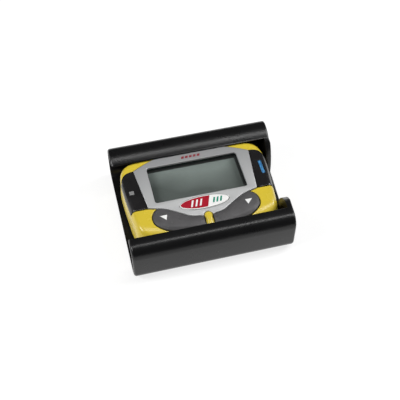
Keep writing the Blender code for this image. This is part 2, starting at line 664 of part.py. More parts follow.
def wing_button(side, looks, parent):
    """One wing key: a domed-edge cap and the stem that reaches its switch."""
    sign = 1 if side == "right" else -1
    outline = wing_outline(-WING_GROOVE) if sign > 0 else mirrored(wing_outline(-WING_GROOVE))
    origin = (sign * STEM[0], STEM[1], WING_UNDERSIDE_Z)
    axis = empty(side + "_button_axis", origin, parent)
    mesh = bmesh.new()
    rings = [(outline, WING_UNDERSIDE_Z, upright)]
    for inset, rise in rounding(WING_EDGE, 2):
        rings.append((grown(outline, -inset), WING_TOP_Z - WING_EDGE + rise, upright))
    lofted(mesh, rings)
    bmesh.ops.translate(mesh, verts=mesh.verts, vec=[-value for value in origin])
    cap = finished(side + "_button", mesh, looks["key"], axis)
    mesh = bmesh.new()
    post(mesh, 0.0, 0.0, STEM_RADIUS, STEM_END_Z - WING_UNDERSIDE_Z, OVERLAP)
    joined(cap, side + "_stem", mesh)


# ---------------------------------------------------------------- pager inside

def display_stack(looks, parent):
    """Backlight, glass and metal frame that stand on the main board under the lens."""
    half, bottom, top = WINDOW
    base = BOARD[4] + GAP
    view = box_outline(-half, half, bottom, top)
    prism("lcd_backlight", view, base, base + BACKLIGHT_THICKNESS, looks["white"], parent)
    glass_z = base + BACKLIGHT_THICKNESS + GAP
    prism("lcd_glass", view, glass_z, glass_z + GLASS_THICKNESS, looks["lcd"], parent)
    frame = prism("lcd_frame", grown(view, FRAME_MARGIN), base, glass_z + GLASS_THICKNESS + 0.1 * MM,
                  looks["steel"], parent)
    mesh = bmesh.new()
    extruded(mesh, grown(view, GAP), base - OVERRUN, SKIN_UNDERSIDE_Z, upright)
    cut(frame, "lcd_frame_cutter", mesh)


def boards(looks, parent):
    """Main board with its parts below, key board with two dome switches above the battery."""
    half, y0, y1, z0, z1 = BOARD
    narrow, shoulder_y = BOARD_SHOULDER
    outline = [(-half, y0), (half, y0), (half, shoulder_y), (narrow, shoulder_y), (narrow, y1),
               (-narrow, y1), (-narrow, shoulder_y), (-half, shoulder_y)]
    prism("main_board", outline, z0, z1, looks["board"], parent)
    under = z0 - GAP
    can = box_outline(*SHIELD_BOX)
    shield = prism("rf_shield", can, under - SHIELD_HEIGHT, under, looks["steel"], parent)
    mesh = bmesh.new()
    extruded(mesh, grown(can, -SHIELD_WALL), under - SHIELD_HEIGHT + SHIELD_WALL, under + OVERRUN, upright)
    cut(shield, "shield_cutter", mesh)
    prism("processor_chip", box_outline(*CHIP_BOX), under - CHIP_HEIGHT, under, looks["black"], parent)
    prism("crystal_filter", rounded_box(*CRYSTAL_BOX, CRYSTAL_ROUND, 4), under - CRYSTAL_HEIGHT, under,
          looks["steel"], parent)
    half, y0, y1, z0, z1 = KEY_BOARD
    prism("key_board", box_outline(-half, half, y0, y1), z0, z1, looks["board"], parent)
    for side, x in (("left", -STEM[0]), ("right", STEM[0])):
        mesh = bmesh.new()
        rings = []
        for radius, height in DOME_RINGS:
            outline = arc(x, STEM[1], radius, radius, 0, 342, 19)
            rings.append((outline, z1 + height, upright))
        lofted(mesh, rings)
        finished("dome_switch_" + side, mesh, looks["steel"], parent)
    led_z = BOARD[4] + 0.1 * MM
    prism("status_led", box_outline(*LED_BOX), led_z, led_z + LED_HEIGHT, looks["white"], parent)


def antenna(looks, parent):
    """Ferrite rod along the top edge with a winding on its middle."""
    y, z = ANTENNA_AXIS
    mesh = bmesh.new()
    rod(mesh, y, z, ROD_RADIUS, -ROD_HALF, ROD_HALF, 16)
    finished("antenna_rod", mesh, looks["ferrite"], parent)
    mesh = bmesh.new()
    rod(mesh, y, z, COIL_RADIUS, -COIL_HALF, COIL_HALF)
    coil = finished("antenna_coil", mesh, looks["copper"], parent)
    mesh = bmesh.new()
    rod(mesh, y, z, ROD_RADIUS + COIL_SLACK, -COIL_HALF - OVERRUN, COIL_HALF + OVERRUN, 16)
    cut(coil, "coil_bore_cutter", mesh)


def sound_and_shake(looks, parent):
    """Earphone jack in the right side, buzzer disc and the vibration motor."""
    mesh = bmesh.new()
    section = box_outline(JACK_Y - JACK_BODY_HALF, JACK_Y + JACK_BODY_HALF, *JACK_BODY_Z)
    extruded(mesh, section, JACK_BODY_X[0], JACK_BODY_X[1], along_x)
    jack = finished("earphone_jack", mesh, looks["black"], parent)
    mesh = bmesh.new()
    rod(mesh, JACK_Y, JACK_Z, JACK_RADIUS, JACK_BODY_X[1] - OVERLAP, CASE_HALF_WIDTH - 0.4 * MM)
    joined(jack, "jack_barrel", mesh)
    mesh = bmesh.new()
    rod(mesh, JACK_Y, JACK_Z, JACK_BORE, JACK_BODY_X[0] + 2 * MM, CASE_HALF_WIDTH + OVERRUN, 16)
    cut(jack, "jack_bore_cutter", mesh)

    radius, height = BUZZER_SIZE
    seat = CASE_BACK_Z + FLOOR_THICKNESS + GAP
    mesh = bmesh.new()
    post(mesh, BUZZER_PLACE[0], BUZZER_PLACE[1], radius, seat, seat + height)
    finished("buzzer", mesh, looks["black"], parent)
    mesh = bmesh.new()
    rod(mesh, MOTOR_AXIS[0], MOTOR_AXIS[1], MOTOR_RADIUS, MOTOR_X[0], MOTOR_X[1], 16)
    finished("vibration_motor", mesh, looks["steel"], parent)


def battery(looks, parent):
    """One small cell between a coiled spring on the left and a contact plate on the right."""
    y, z = BATTERY_AXIS
    x0, x1 = BATTERY_X
    nub_radius, nub = BATTERY_NUB
    mesh = bmesh.new()
    rod(mesh, y, z, BATTERY_RADIUS, x0, x1 - nub, 28)
    cell = finished("battery_cell", mesh, looks["cell"], parent)
    mesh = bmesh.new()
    rod(mesh, y, z, nub_radius, x1 - nub - OVERLAP, x1, 16)
    joined(cell, "battery_nub", mesh)

    contact_x = x1 + GAP
    plate = box_outline(contact_x, contact_x + CONTACT_THICKNESS, y - CONTACT_HALF_WIDTH,
                        y + CONTACT_HALF_WIDTH)
    prism("battery_contact", plate, CONTACT_Z[0], CONTACT_Z[1], looks["steel"], parent)

    start_x = SPRING_FAR_X
    end_x = x0 - GAP - SPRING_WIRE
    wide, small = SPRING_RADII
    curve = bpy.data.curves.new("battery_spring", "CURVE")
    curve.dimensions = "3D"
    curve.bevel_depth = SPRING_WIRE
    curve.bevel_resolution = 1
    curve.use_fill_caps = True
    steps = SPRING_TURNS * SPRING_STEPS
    spline = curve.splines.new("POLY")
    spline.points.add(steps)
    for step in range(steps + 1):
        share = step / steps
        angle = 2 * math.pi * SPRING_TURNS * share
        radius = wide + (small - wide) * share
        x = start_x + (end_x - start_x) * share
        spline.points[step].co = (x, y + radius * math.cos(angle), z + radius * math.sin(angle), 1.0)
    spring = bpy.data.objects.new("battery_spring", curve)
    bpy.context.scene.collection.objects.link(spring)
    spring.parent = parent
    curve.materials.append(looks["steel"])


# ---------------------------------------------------------------- assembly

def main():
    for old in list(bpy.data.objects):
        bpy.data.objects.remove(old, do_unlink=True)
    looks = {
        "holster": material("holster_black", (34, 34, 36), 0.42),
        "yellow": material("case_yellow", (212, 192, 70), 0.38),
        "black": material("case_black", (26, 26, 28), 0.5),
        "silver": material("plate_silver", (176, 178, 180), 0.35, 0.35),
        "panel": material("panel_black", (36, 36, 38), 0.3),
        "key": material("key_grey", (84, 84, 86), 0.55),
        "lens": material("lens_clear", (214, 222, 219), 0.05, 0.0, 0.9),
        "lcd": material("lcd_green_grey", (113, 120, 117), 0.3),
        "white": material("diffuser_white", (225, 226, 222), 0.6),
        "blue": material("light_blue", (66, 120, 170), 0.25),
        "red": material("emblem_red", (160, 24, 42), 0.35),
        "steel": material("plated_steel", (178, 178, 182), 0.3, 1.0),
        "copper": material("winding_copper", (168, 96, 52), 0.35, 1.0),
        "ferrite": material("ferrite_grey", (58, 56, 56), 0.7),
        "board": material("board_green", (28, 84, 58), 0.5),
        "cell": material("cell_jacket", (72, 76, 84), 0.4, 0.3),
    }
    holster = empty("holster_origin", (0.0, 0.0, 0.0))
    pager = empty("pager_origin", (PAGER_X, 0.0, 0.0), holster)
    door_axis = empty("battery_door_origin", (0.0, 0.0, 0.0), pager)
    holster_shell(looks, holster)
    front_case(looks, pager)
    rear_case(looks, pager)
    battery_door(looks, door_axis)
    case_screws(looks, pager)
    face_pieces(looks, pager)
    wing_button("left", looks, pager)
    wing_button("right", looks, pager)
    display_stack(looks, pager)
    boards(looks, pager)
    antenna(looks, pager)
    sound_and_shake(looks, pager)
    battery(looks, pager)


main()
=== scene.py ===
"""Looks of the display pager and its belt holster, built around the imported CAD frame.

Metres in the CAD's frame: +Z up out of the display, +X to the right, +Y to the display's top edge.
"""
import math

import bmesh
import bpy
from mathutils import Matrix, Vector
from mathutils.geometry import tessellate_polygon


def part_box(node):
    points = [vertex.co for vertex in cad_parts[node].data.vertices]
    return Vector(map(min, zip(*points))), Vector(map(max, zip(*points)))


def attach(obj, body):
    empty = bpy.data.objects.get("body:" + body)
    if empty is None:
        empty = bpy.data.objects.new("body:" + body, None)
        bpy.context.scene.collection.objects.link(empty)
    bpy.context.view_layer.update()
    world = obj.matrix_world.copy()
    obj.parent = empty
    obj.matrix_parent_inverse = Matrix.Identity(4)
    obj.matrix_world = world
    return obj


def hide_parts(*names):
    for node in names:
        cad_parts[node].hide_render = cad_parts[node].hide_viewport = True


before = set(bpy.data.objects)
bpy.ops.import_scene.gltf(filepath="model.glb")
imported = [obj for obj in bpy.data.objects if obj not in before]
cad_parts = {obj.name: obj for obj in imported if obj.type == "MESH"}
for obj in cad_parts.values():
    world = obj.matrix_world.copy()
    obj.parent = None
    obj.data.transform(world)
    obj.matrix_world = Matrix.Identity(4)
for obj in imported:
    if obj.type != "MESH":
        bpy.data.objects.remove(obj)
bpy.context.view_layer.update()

MM = 0.001


def limits(node):
    """A CAD node's lowest and highest corner."""
    low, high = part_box(node)
    return Vector(low), Vector(high)


# Driving places, read from the frame
CASE_LOW, CASE_HIGH = limits("front_case")
PLATE_LOW, PLATE_HIGH = limits("face_plate")
SHELL_LOW, SHELL_HIGH = limits("holster_shell")
LENS_LOW, LENS_HIGH = limits("display_lens")
RIB_LOW, RIB_HIGH = limits("centre_rib")
PAGER_X = (CASE_LOW.x + CASE_HIGH.x) / 2
FACE_Z = CASE_HIGH.z
PARTING_Z = limits("rear_case")[1].z
PLATE_Z = PLATE_HIGH.z

# Holster
SHEET = 2.0 * MM                    # thickness of the bent sheet
END_WALL = 2.8 * MM
ROLL_RADIUS = 6.0 * MM
FRONT_LIP_Y = -26.6 * MM
REAR_LIP_Y = 21.4 * MM
REAR_CURL_Y = 27.6 * MM
REAR_LIP_DROP = 2.0 * MM
REAR_CURL_POWER = 1.7               # how late the rear lip turns down
LIP_ROUND = 0.6 * MM
REAR_LIP_UNDERSIDE_Z = 20.35 * MM
LEFT_FILLET = 1.4 * MM
END_SKEW = 0.06                     # slant of the right end, x per y
END_X = 41.1 * MM
END_FILLET = 1.2 * MM
SCOOP_FLOOR = 2.6 * MM
SCOOP_DEPTH = 3.5 * MM
CHEEK_EDGE = 0.5 * MM
REAR_CHEEK = (24.0 * MM, 11.0 * MM)              # y where its round begins, and the round's width
FRONT_CHEEK = (-27.0 * MM, 15.5 * MM)

# Pager
CASE_POINTS = [(0.0, -30.5), (13.0, -29.8), (24.0, -27.9), (31.5, -25.3), (35.3, -21.0), (36.4, -14.5),
               (37.1, -6.0), (37.8, 4.0), (37.9, 12.5), (36.8, 18.2), (33.9, 21.7), (29.0, 23.6),
               (15.0, 26.8), (0.0, 28.0)]
CASE_EDGE = 3.0 * MM
CASE_DRAFT = 0.6 * MM               # how much the case widens down to its parting
EDGE_SOFTENING = (8.0 * MM, -17.0 * MM, 2.0)     # the edge's depth grows from the first y to the second
FACE_RINGS = (0.985, 0.965, 0.94, 0.91, 0.875, 0.835, 0.79, 0.7, 0.5)
CASE_WALL = 1.6 * MM
SKIN_Z = 17.3 * MM                  # underside of the case's face
CROWN_Y = 25.0 * MM
SMILE_POINTS = [(0.0, -19.6), (7.5, -18.4), (12.5, -15.4), (19.5, -11.2), (27.8, -8.8)]
PLATE_UPPER = (30.6 * MM, 16.1 * MM)             # the plate's upper corner, x and y
PLATE_GROOVE = 0.4 * MM
PLATE_EDGE = 0.3 * MM
PANEL_SHOULDER = (37.4 * MM, 11.0 * MM)          # where a panel's upper edge starts to round, x and y
PANEL_STEP = 0.5 * MM
PANEL_EDGE = 0.22 * MM
PANEL_SIDE_X = 39.0 * MM            # past the case's side, so that the panels end flush with it
PANEL_WRAP = 1.1 * MM               # thickness of the panels where they wrap over the case's edge
PANEL_WRAP_Z = 16.4 * MM            # their lower edge on the case's side
WINDOW = (23.7 * MM, -6.6 * MM, 16.5 * MM)       # half width, lowest and highest y
WINDOW_CORNER = 1.2 * MM
LENS_SEAT = 1.4 * MM                # how far the opening behind the window reaches past it
LENS_MARGIN = 1.0 * MM
# Painted shadow: the lips are wider at the top and right, standing for the shadow the window's edge
# casts on the display.
GASKET_LIPS_AND_SHADOW = (0.5 * MM, 1.0 * MM, 0.3 * MM, 0.7 * MM)     # left, right, bottom, top
GASKET_CORNER = 0.6 * MM
EMBLEM_CENTRE = (0.0, -11.5 * MM)
EMBLEM_HALF = (12.4 * MM, 3.8 * MM)
FIELD_END = 2.2 * MM                # where the badge's red field ends, at mid height
FIELD_MARGIN = 0.45 * MM
BAR_SLANT = 0.35                    # x per y
BAR_WIDTH = 0.9 * MM
BROW_BARS = 5
BROW_X = -5.0 * MM
BROW_Y = (18.5 * MM, 20.0 * MM)
BROW_PITCH = 2.1 * MM
BROW_WIDTH = 1.4 * MM
BROW_SLANT = 0.5 * MM
PRINT_DEPTH = 0.2 * MM
PRINT_RISE = 0.03 * MM
WING_POINTS = [(1.9, -27.0), (8.0, -26.6), (14.5, -25.6), (21.5, -23.6), (26.2, -19.9), (27.3, -15.6),
               (26.1, -12.0), (23.2, -9.9), (19.5, -11.1), (12.5, -15.3), (7.5, -18.3), (1.9, -19.4)]
WING_GROOVE = 0.4 * MM
WING_FLOOR_Z = 18.3 * MM
WING_LOW_Z = 19.05 * MM
WING_CROWN = 0.45 * MM
WING_EDGE = 0.6 * MM
WING_SLOPE = 1.7 * MM               # width of the slope from a key's rim to its flat top
ARROW_POINTS = [(19.7, -15.2), (20.6, -18.2), (23.3, -15.3)]
STEM = (19.5 * MM, -17.2 * MM)                   # the right key's stem, x and y
STEM_RADIUS = 2.0 * MM
STEM_HOLE = 2.4 * MM
HOOD_RADIUS = 2.0 * MM
NECK_LENGTH = 1.8 * MM
RIB_EDGE = 1.3 * MM
RIB_ROOT = 0.8 * MM
LIGHT_BOX = (33.1 * MM, 34.7 * MM, -0.7 * MM, 7.8 * MM)      # lowest and highest x, lowest and highest y
MARK_BOX = (-35.1 * MM, -32.7 * MM, 1.2 * MM, 3.6 * MM)
INSERT_CORNER = 0.25 * MM
DROOP_Y = -21.6 * MM                # from here the face curves down towards the bottom edge
DROOP_BOW = 4.5                     # how much that line bows, per metre
DROOP_RADIUS = 12.8 * MM
GAP = 0.3 * MM                      # clearance between neighbouring pieces
CUTTER_REACH = 2 * MM               # how far a cutter stands out of the face it cuts

# Points along each stretch of a curve
CROWN_STEPS = 16
PATH_STEPS = 8
CASE_STEPS = 6
ROLL_STEPS = 14
CURL_STEPS = 12
CHEEK_STEPS = 24


# ---------------------------------------------------------------- outlines

def arc(centre_x, centre_y, radius_x, radius_y, start, end, steps=10):
    """Points along an ellipse's arc, angles in degrees, both ends included."""
    points = []
    for step in range(steps + 1):
        angle = math.radians(start + (end - start) * step / steps)
        points.append((centre_x + radius_x * math.cos(angle), centre_y + radius_y * math.sin(angle)))
    return points


def rounded_box(x0, x1, y0, y1, radius, steps=8):
    """A rectangle with round corners, counter-clockwise."""
    points = arc(x1 - radius, y0 + radius, radius, radius, -90, 0, steps)
    points += arc(x1 - radius, y1 - radius, radius, radius, 0, 90, steps)
    points += arc(x0 + radius, y1 - radius, radius, radius, 90, 180, steps)
    points += arc(x0 + radius, y0 + radius, radius, radius, 180, 270, steps)
    return points


def spline_point(before, start, end, after, t):
    """A point on the Catmull-Rom segment from start to end, t from 0 to 1."""
    return tuple(
        0.5 * (2 * start[k] + (end[k] - before[k]) * t
               + (2 * before[k] - 5 * start[k] + 4 * end[k] - after[k]) * t ** 2
               + (3 * start[k] - before[k] - 3 * end[k] + after[k]) * t ** 3)
        for k in range(2))


def smooth_path(points, steps):
    """An open Catmull-Rom curve through the points."""
    padded = [points[0]] + list(points) + [points[-1]]
    path = []
    for index in range(1, len(padded) - 2):
        path += [spline_point(*padded[index - 1:index + 3], step / steps) for step in range(steps)]
    path.append(points[-1])
    return path


def closed_path(points, steps):
    """A closed Catmull-Rom curve through the points."""
    count = len(points)
    path = []
    for index in range(count):
        around = [points[(index + shift) % count] for shift in (-1, 0, 1, 2)]
        path += [spline_point(*around, step / steps) for step in range(steps)]
    return path


def grown(outline, distance):
    """A counter-clockwise outline moved outwards by distance."""
    points = []
    count = len(outline)
    for index in range(count):
        x_before, y_before = outline[index - 1]
        x, y = outline[index]
        x_after, y_after = outline[(index + 1) % count]
        first = math.atan2(y - y_before, x - x_before) - math.pi / 2
        second = math.atan2(y_after - y, x_after - x) - math.pi / 2
        normal_x = math.cos(first) + math.cos(second)
        normal_y = math.sin(first) + math.sin(second)
        scale = 2 * distance / max(normal_x ** 2 + normal_y ** 2, 0.5)
        points.append((x + normal_x * scale, y + normal_y * scale))
    return points


def mirrored(outline):
    """The outline reflected in X, still counter-clockwise."""
    return [(-x, y) for x, y in reversed(outline)]


def in_metres(points):
    return [(x * MM, y * MM) for x, y in points]


def case_outline(inset=0.0):
    right = in_metres(CASE_POINTS)
    return grown(closed_path(right + mirrored(right)[1:-1], CASE_STEPS), -inset)


def plate_crown():
    """The right half of the face plate's arched top, from its corner to the middle."""
    corner_x, corner_y = PLATE_UPPER
    points = []
    for step in range(CROWN_STEPS + 1):
        x = corner_x * (1 - step / CROWN_STEPS)
        points.append((x, CROWN_Y - (CROWN_Y - corner_y) * (x / corner_x) ** 2))
    return points


def plate_outline():
    """Arched top, waisted sides and a smile-shaped lower edge."""
    right = smooth_path(in_metres(SMILE_POINTS), PATH_STEPS) + plate_crown()
    return right + mirrored(right)[1:-1]


def panel_outline():
    """The right-hand end panel."""
    upper_x, upper_y = PLATE_UPPER
    lower_x, lower_y = in_metres(SMILE_POINTS)[-1]
    shoulder_x, shoulder_y = PANEL_SHOULDER
    shoulder = arc(upper_x + GAP, shoulder_y, shoulder_x - upper_x - GAP, upper_y - shoulder_y, 0, 90)
    side = [(PANEL_SIDE_X, lower_y), (PANEL_SIDE_X, shoulder_y - PANEL_STEP)]
    return [(lower_x + GAP, lower_y)] + side + shoulder


def wing_outline(margin=0.0):
    return grown(smooth_path(in_metres(WING_POINTS), PATH_STEPS), margin)


def stem_outline(x, radius):
    """The round stem under a wing key, or its hole."""
    return arc(x, STEM[1], radius, radius, 0, 345, 23)


def window_outline(margin=0.0):
    half, bottom, top = WINDOW
    return rounded_box(-half - margin, half + margin, bottom - margin, top + margin, WINDOW_CORNER)


def emblem_outline(margin=0.0, steps=64):
    centre_x, centre_y = EMBLEM_CENTRE
    return arc(centre_x, centre_y, EMBLEM_HALF[0] + margin, EMBLEM_HALF[1] + margin,
               0, 360 - 360 / steps, steps - 1)


# ---------------------------------------------------------------- materials

def linear(value):
    share = value / 255
    return share / 12.92 if share <= 0.04045 else ((share + 0.055) / 1.055) ** 2.4


def colour(red, green, blue):
    """An sRGB colour, 0 to 255, as linear light."""
    return (linear(red), linear(green), linear(blue), 1.0)


class Look:
    """A Principled material whose colour, roughness and bump come from procedural nodes."""

    def __init__(self, name, base, roughness, **fixed):
        self.made = bpy.data.materials.new(name)
        self.made.use_nodes = True
        self.tree = self.made.node_tree
        self.shader = self.tree.nodes["Principled BSDF"]
        self.base = base
        self.place = self.node("ShaderNodeTexCoord").outputs["Object"]
        self.paint = None
        self.relief = None
        self.shader.inputs["Base Color"].default_value = base
        self.shader.inputs["Roughness"].default_value = roughness
        for socket, value in fixed.items():
            self.shader.inputs[socket.replace("_", " ")].default_value = value

    def node(self, kind, **values):
        made = self.tree.nodes.new(kind)
        for key, value in values.items():
            setattr(made, key, value)
        return made

    def link(self, source, target):
        self.tree.links.new(source, target)

    def stretched(self, scale, turn=(0.0, 0.0, 0.0)):
        """The object's coordinates, turned by degrees and scaled."""
        mapping = self.node("ShaderNodeMapping")
        mapping.inputs["Rotation"].default_value = [math.radians(angle) for angle in turn]
        mapping.inputs["Scale"].default_value = scale
        self.link(self.place, mapping.inputs["Vector"])
        return mapping.outputs["Vector"]

    def noise(self, scale, detail=3.0, rough=0.55, where=None):
        made = self.node("ShaderNodeTexNoise")
        made.inputs["Scale"].default_value = scale
        made.inputs["Detail"].default_value = detail
        made.inputs["Roughness"].default_value = rough
        self.link(where or self.place, made.inputs["Vector"])
        return made.outputs["Fac"]

    def cells(self, scale):
        made = self.node("ShaderNodeTexVoronoi")
        made.inputs["Scale"].default_value = scale
        self.link(self.place, made.inputs["Vector"])
        return made.outputs["Distance"]

    def ramp(self, source, low, high, start=0.0, end=1.0):
        """Source between low and high, as start to end."""
        made = self.node("ShaderNodeMapRange")
        made.inputs["From Min"].default_value = low
        made.inputs["From Max"].default_value = high
        made.inputs["To Min"].default_value = start
        made.inputs["To Max"].default_value = end
        self.link(source, made.inputs["Value"])
        return made.outputs["Result"]

    def tint(self, source, other):
        """Mix another colour over the paint, by source."""
        made = self.node("ShaderNodeMix", data_type="RGBA")
        made.inputs[6].default_value = self.base
        if self.paint is not None:
            self.link(self.paint, made.inputs[6])
        made.inputs[7].default_value = other
        self.link(source, made.inputs[0])
        self.paint = made.outputs[2]
        self.link(self.paint, self.shader.inputs["Base Color"])
        return self

    def gloss(self, source, low, high, smooth, rough):
        """Roughness from smooth to rough as source goes from low to high."""
        self.link(self.ramp(source, low, high, smooth, rough), self.shader.inputs["Roughness"])
        return self

    def bump(self, source, strength, depth):
        """Relief from source, depth in metres, over any relief already there."""
        made = self.node("ShaderNodeBump")
        made.inputs["Strength"].default_value = strength
        made.inputs["Distance"].default_value = depth
        self.link(source, made.inputs["Height"])
        if self.relief is not None:
            self.link(self.relief, made.inputs["Normal"])
        self.relief = made.outputs["Normal"]
        self.link(self.relief, self.shader.inputs["Normal"])
        return self

    def mottle(self, other, amount, scale, detail=3.0, low=0.4, high=0.7):
        """Mix another colour over the paint where noise rises from low to high."""
        return self.tint(self.ramp(self.noise(scale, detail), low, high, 0.0, amount), other)

    def patchy(self, smooth, rough, scale, detail=3.0, high=0.7):
        """Roughness that wanders between smooth and rough."""
        return self.gloss(self.noise(scale, detail), 0.3, high, smooth, rough)

    def grain(self, strength, depth, scale, detail=3.0):
        """Fine relief from noise, depth in metres."""
        return self.bump(self.noise(scale, detail), strength, depth)


def worn(look, amount, other):
    """Lighten the edges a little: the rim catches wear where noise lets it."""
    geometry = look.node("ShaderNodeNewGeometry")
    edge = look.ramp(geometry.outputs["Pointiness"], 0.52, 0.6)
    patch = look.ramp(look.noise(220.0, 4.0), 0.45, 0.7, 0.0, amount)
    both = look.node("ShaderNodeMath", operation="MULTIPLY")
    look.link(edge, both.inputs[0])
    look.link(patch, both.inputs[1])
    return look.tint(both.outputs[0], other)


def make_looks():
    """Every material of the model, by name."""
    looks = {}

    look = Look("holster_black", colour(12, 12, 13), 0.28, Specular_IOR_Level=0.4)
    look.mottle(colour(18, 18, 19), 0.4, 90.0, detail=4.0, high=0.75)
    worn(look, 0.25, colour(60, 60, 60))
    look.patchy(0.26, 0.31, 60.0)
    look.bump(look.cells(1300.0), 0.2, 0.0001)
    look.bump(look.noise(700.0, 2.0, where=look.stretched((1.0, 0.25, 0.6), (0, 0, 40))), 0.25, 0.0001)
    looks["holster"] = look

    look = Look("case_yellow", colour(208, 184, 54), 0.3)
    look.mottle(colour(198, 178, 62), 0.3, 45.0, low=0.35)
    look.mottle(colour(186, 168, 70), 0.25, 500.0, detail=2.0, low=0.64, high=0.74)
    look.patchy(0.2, 0.32, 160.0)
    look.grain(0.06, 0.0001, 1100.0, detail=2.0)
    looks["yellow"] = look

    # Besides the rear case's real black, this also serves as painted shade: on the walls of the yellow
    # case's pockets and openings, and on the display gasket's wider lips.
    look = Look("case_black", colour(27, 27, 28), 0.45)
    look.mottle(colour(38, 38, 39), 0.4, 120.0)
    worn(look, 0.4, colour(70, 70, 70))
    look.patchy(0.38, 0.55, 90.0)
    look.bump(look.cells(2200.0), 0.2, 0.00008)
    looks["black"] = look

    look = Look("plate_silver", colour(194, 195, 195), 0.34, Metallic=0.25)
    # Painted shade: the plate turns darker towards its top edge, where the holster's rear lip overhangs
    # it.
    shade = look.node("ShaderNodeSeparateXYZ")
    look.link(look.place, shade.inputs[0])
    look.tint(look.ramp(shade.outputs["Y"], -0.012, 0.02, 0.0, 0.9), colour(150, 151, 152))
    look.mottle(colour(196, 196, 196), 0.35, 5200.0, detail=1.0, low=0.5, high=0.75)
    look.mottle(colour(164, 164, 164), 0.3, 40.0, low=0.35)
    look.patchy(0.28, 0.42, 2600.0, detail=1.0)
    look.grain(0.05, 0.00005, 2400.0, detail=1.0)
    looks["silver"] = look

    look = Look("mark_grey", colour(128, 128, 128), 0.4)
    look.mottle(colour(100, 100, 100), 0.4, 600.0)
    look.grain(0.1, 0.00005, 2000.0)
    looks["mark"] = look

    look = Look("panel_black", colour(24, 23, 24), 0.22)
    look.mottle(colour(38, 36, 37), 0.4, 70.0, high=0.75)
    look.patchy(0.16, 0.36, 110.0, detail=4.0, high=0.75)
    look.grain(0.05, 0.00008, 1400.0, detail=2.0)
    looks["panel"] = look

    look = Look("key_grey", colour(70, 69, 70), 0.5)
    look.mottle(colour(84, 82, 84), 0.5, 180.0)
    look.tint(look.ramp(look.cells(620.0), 0.0, 0.16, 0.45, 0.0), colour(150, 150, 150))
    look.patchy(0.42, 0.6, 300.0)
    look.grain(0.3, 0.00012, 2600.0, detail=2.0)
    looks["key"] = look

    look = Look("lens_clear", colour(60, 66, 63), 0.06, Alpha=0.12, Specular_IOR_Level=0.9)
    look.patchy(0.04, 0.1, 60.0)
    look.grain(0.02, 0.001, 12.0, detail=1.0)
    looks["lens"] = look

    look = Look("lcd_grey", colour(146, 157, 152), 0.14)
    # Painted reflection: below a wavy line across the display it turns darker, standing for the dark
    # surroundings mirrored in the lens.
    slope = look.node("ShaderNodeSeparateXYZ")
    look.link(look.place, slope.inputs[0])
    painted_reflection_edge = look.node("ShaderNodeMath", operation="MULTIPLY_ADD")
    look.link(look.noise(38.0, 1.0, 0.3), painted_reflection_edge.inputs[0])
    painted_reflection_edge.inputs[1].default_value = 0.03
    look.link(slope.outputs["Y"], painted_reflection_edge.inputs[2])
    look.tint(look.ramp(painted_reflection_edge.outputs[0], 0.028, 0.014, 0.0, 0.9), colour(88, 94, 91))
    look.mottle(colour(118, 126, 122), 0.12, 700.0, detail=1.0, low=0.3)
    look.patchy(0.1, 0.2, 500.0, detail=2.0)
    looks["lcd"] = look

    look = Look("diffuser_white", colour(222, 224, 220), 0.55)
    look.mottle(colour(206, 208, 200), 0.3, 140.0)
    look.grain(0.08, 0.00005, 1500.0)
    looks["white"] = look

    look = Look("print_white", colour(232, 232, 230), 0.4)
    look.mottle(colour(196, 196, 196), 0.25, 900.0, low=0.5, high=0.75)
    look.grain(0.1, 0.00005, 2200.0)
    looks["print"] = look

    look = Look("light_blue", colour(58, 122, 178), 0.16, Coat_Weight=0.5, Coat_Roughness=0.05)
    look.mottle(colour(92, 160, 206), 0.6, 420.0, detail=2.0)
    look.grain(0.1, 0.0001, 700.0)
    looks["blue"] = look

    look = Look("emblem_red", colour(158, 22, 40), 0.25, Coat_Weight=0.4, Coat_Roughness=0.08)
    look.mottle(colour(178, 32, 50), 0.5, 320.0, detail=2.0)
    look.grain(0.05, 0.00005, 1200.0)
    looks["red"] = look

    look = Look("brow_red", colour(126, 36, 46), 0.35)
    look.mottle(colour(148, 76, 82), 0.6, 900.0, detail=2.0)
    look.grain(0.08, 0.00005, 1500.0)
    looks["brow"] = look

    look = Look("emblem_green", colour(42, 134, 112), 0.25, Coat_Weight=0.4, Coat_Roughness=0.08)
    look.mottle(colour(66, 152, 130), 0.5, 320.0, detail=2.0)
    look.grain(0.05, 0.00005, 1200.0)
    looks["green"] = look

    look = Look("plated_steel", colour(184, 184, 188), 0.28, Metallic=1.0)
    look.mottle(colour(150, 148, 146), 0.5, 160.0, detail=4.0, low=0.45, high=0.75)
    look.gloss(look.noise(40.0, 3.0, where=look.stretched((1.0, 14.0, 1.0))), 0.3, 0.7, 0.22, 0.42)
    look.bump(look.noise(300.0, 3.0, where=look.stretched((1.0, 9.0, 1.0))), 0.08, 0.00005)
    looks["steel"] = look

    look = Look("winding_copper", colour(176, 98, 52), 0.3, Metallic=1.0)
    look.mottle(colour(140, 70, 38), 0.5, 260.0)
    wave = look.node("ShaderNodeTexWave", bands_direction="X")
    wave.inputs["Scale"].default_value = 700.0
    look.link(look.place, wave.inputs["Vector"])
    look.bump(wave.outputs["Fac"], 0.5, 0.0002)
    looks["copper"] = look

    look = Look("ferrite_grey", colour(56, 54, 54), 0.7)
    look.mottle(colour(84, 80, 78), 0.6, 500.0, detail=4.0, low=0.45)
    look.grain(0.4, 0.0001, 1200.0, detail=4.0)
    looks["ferrite"] = look

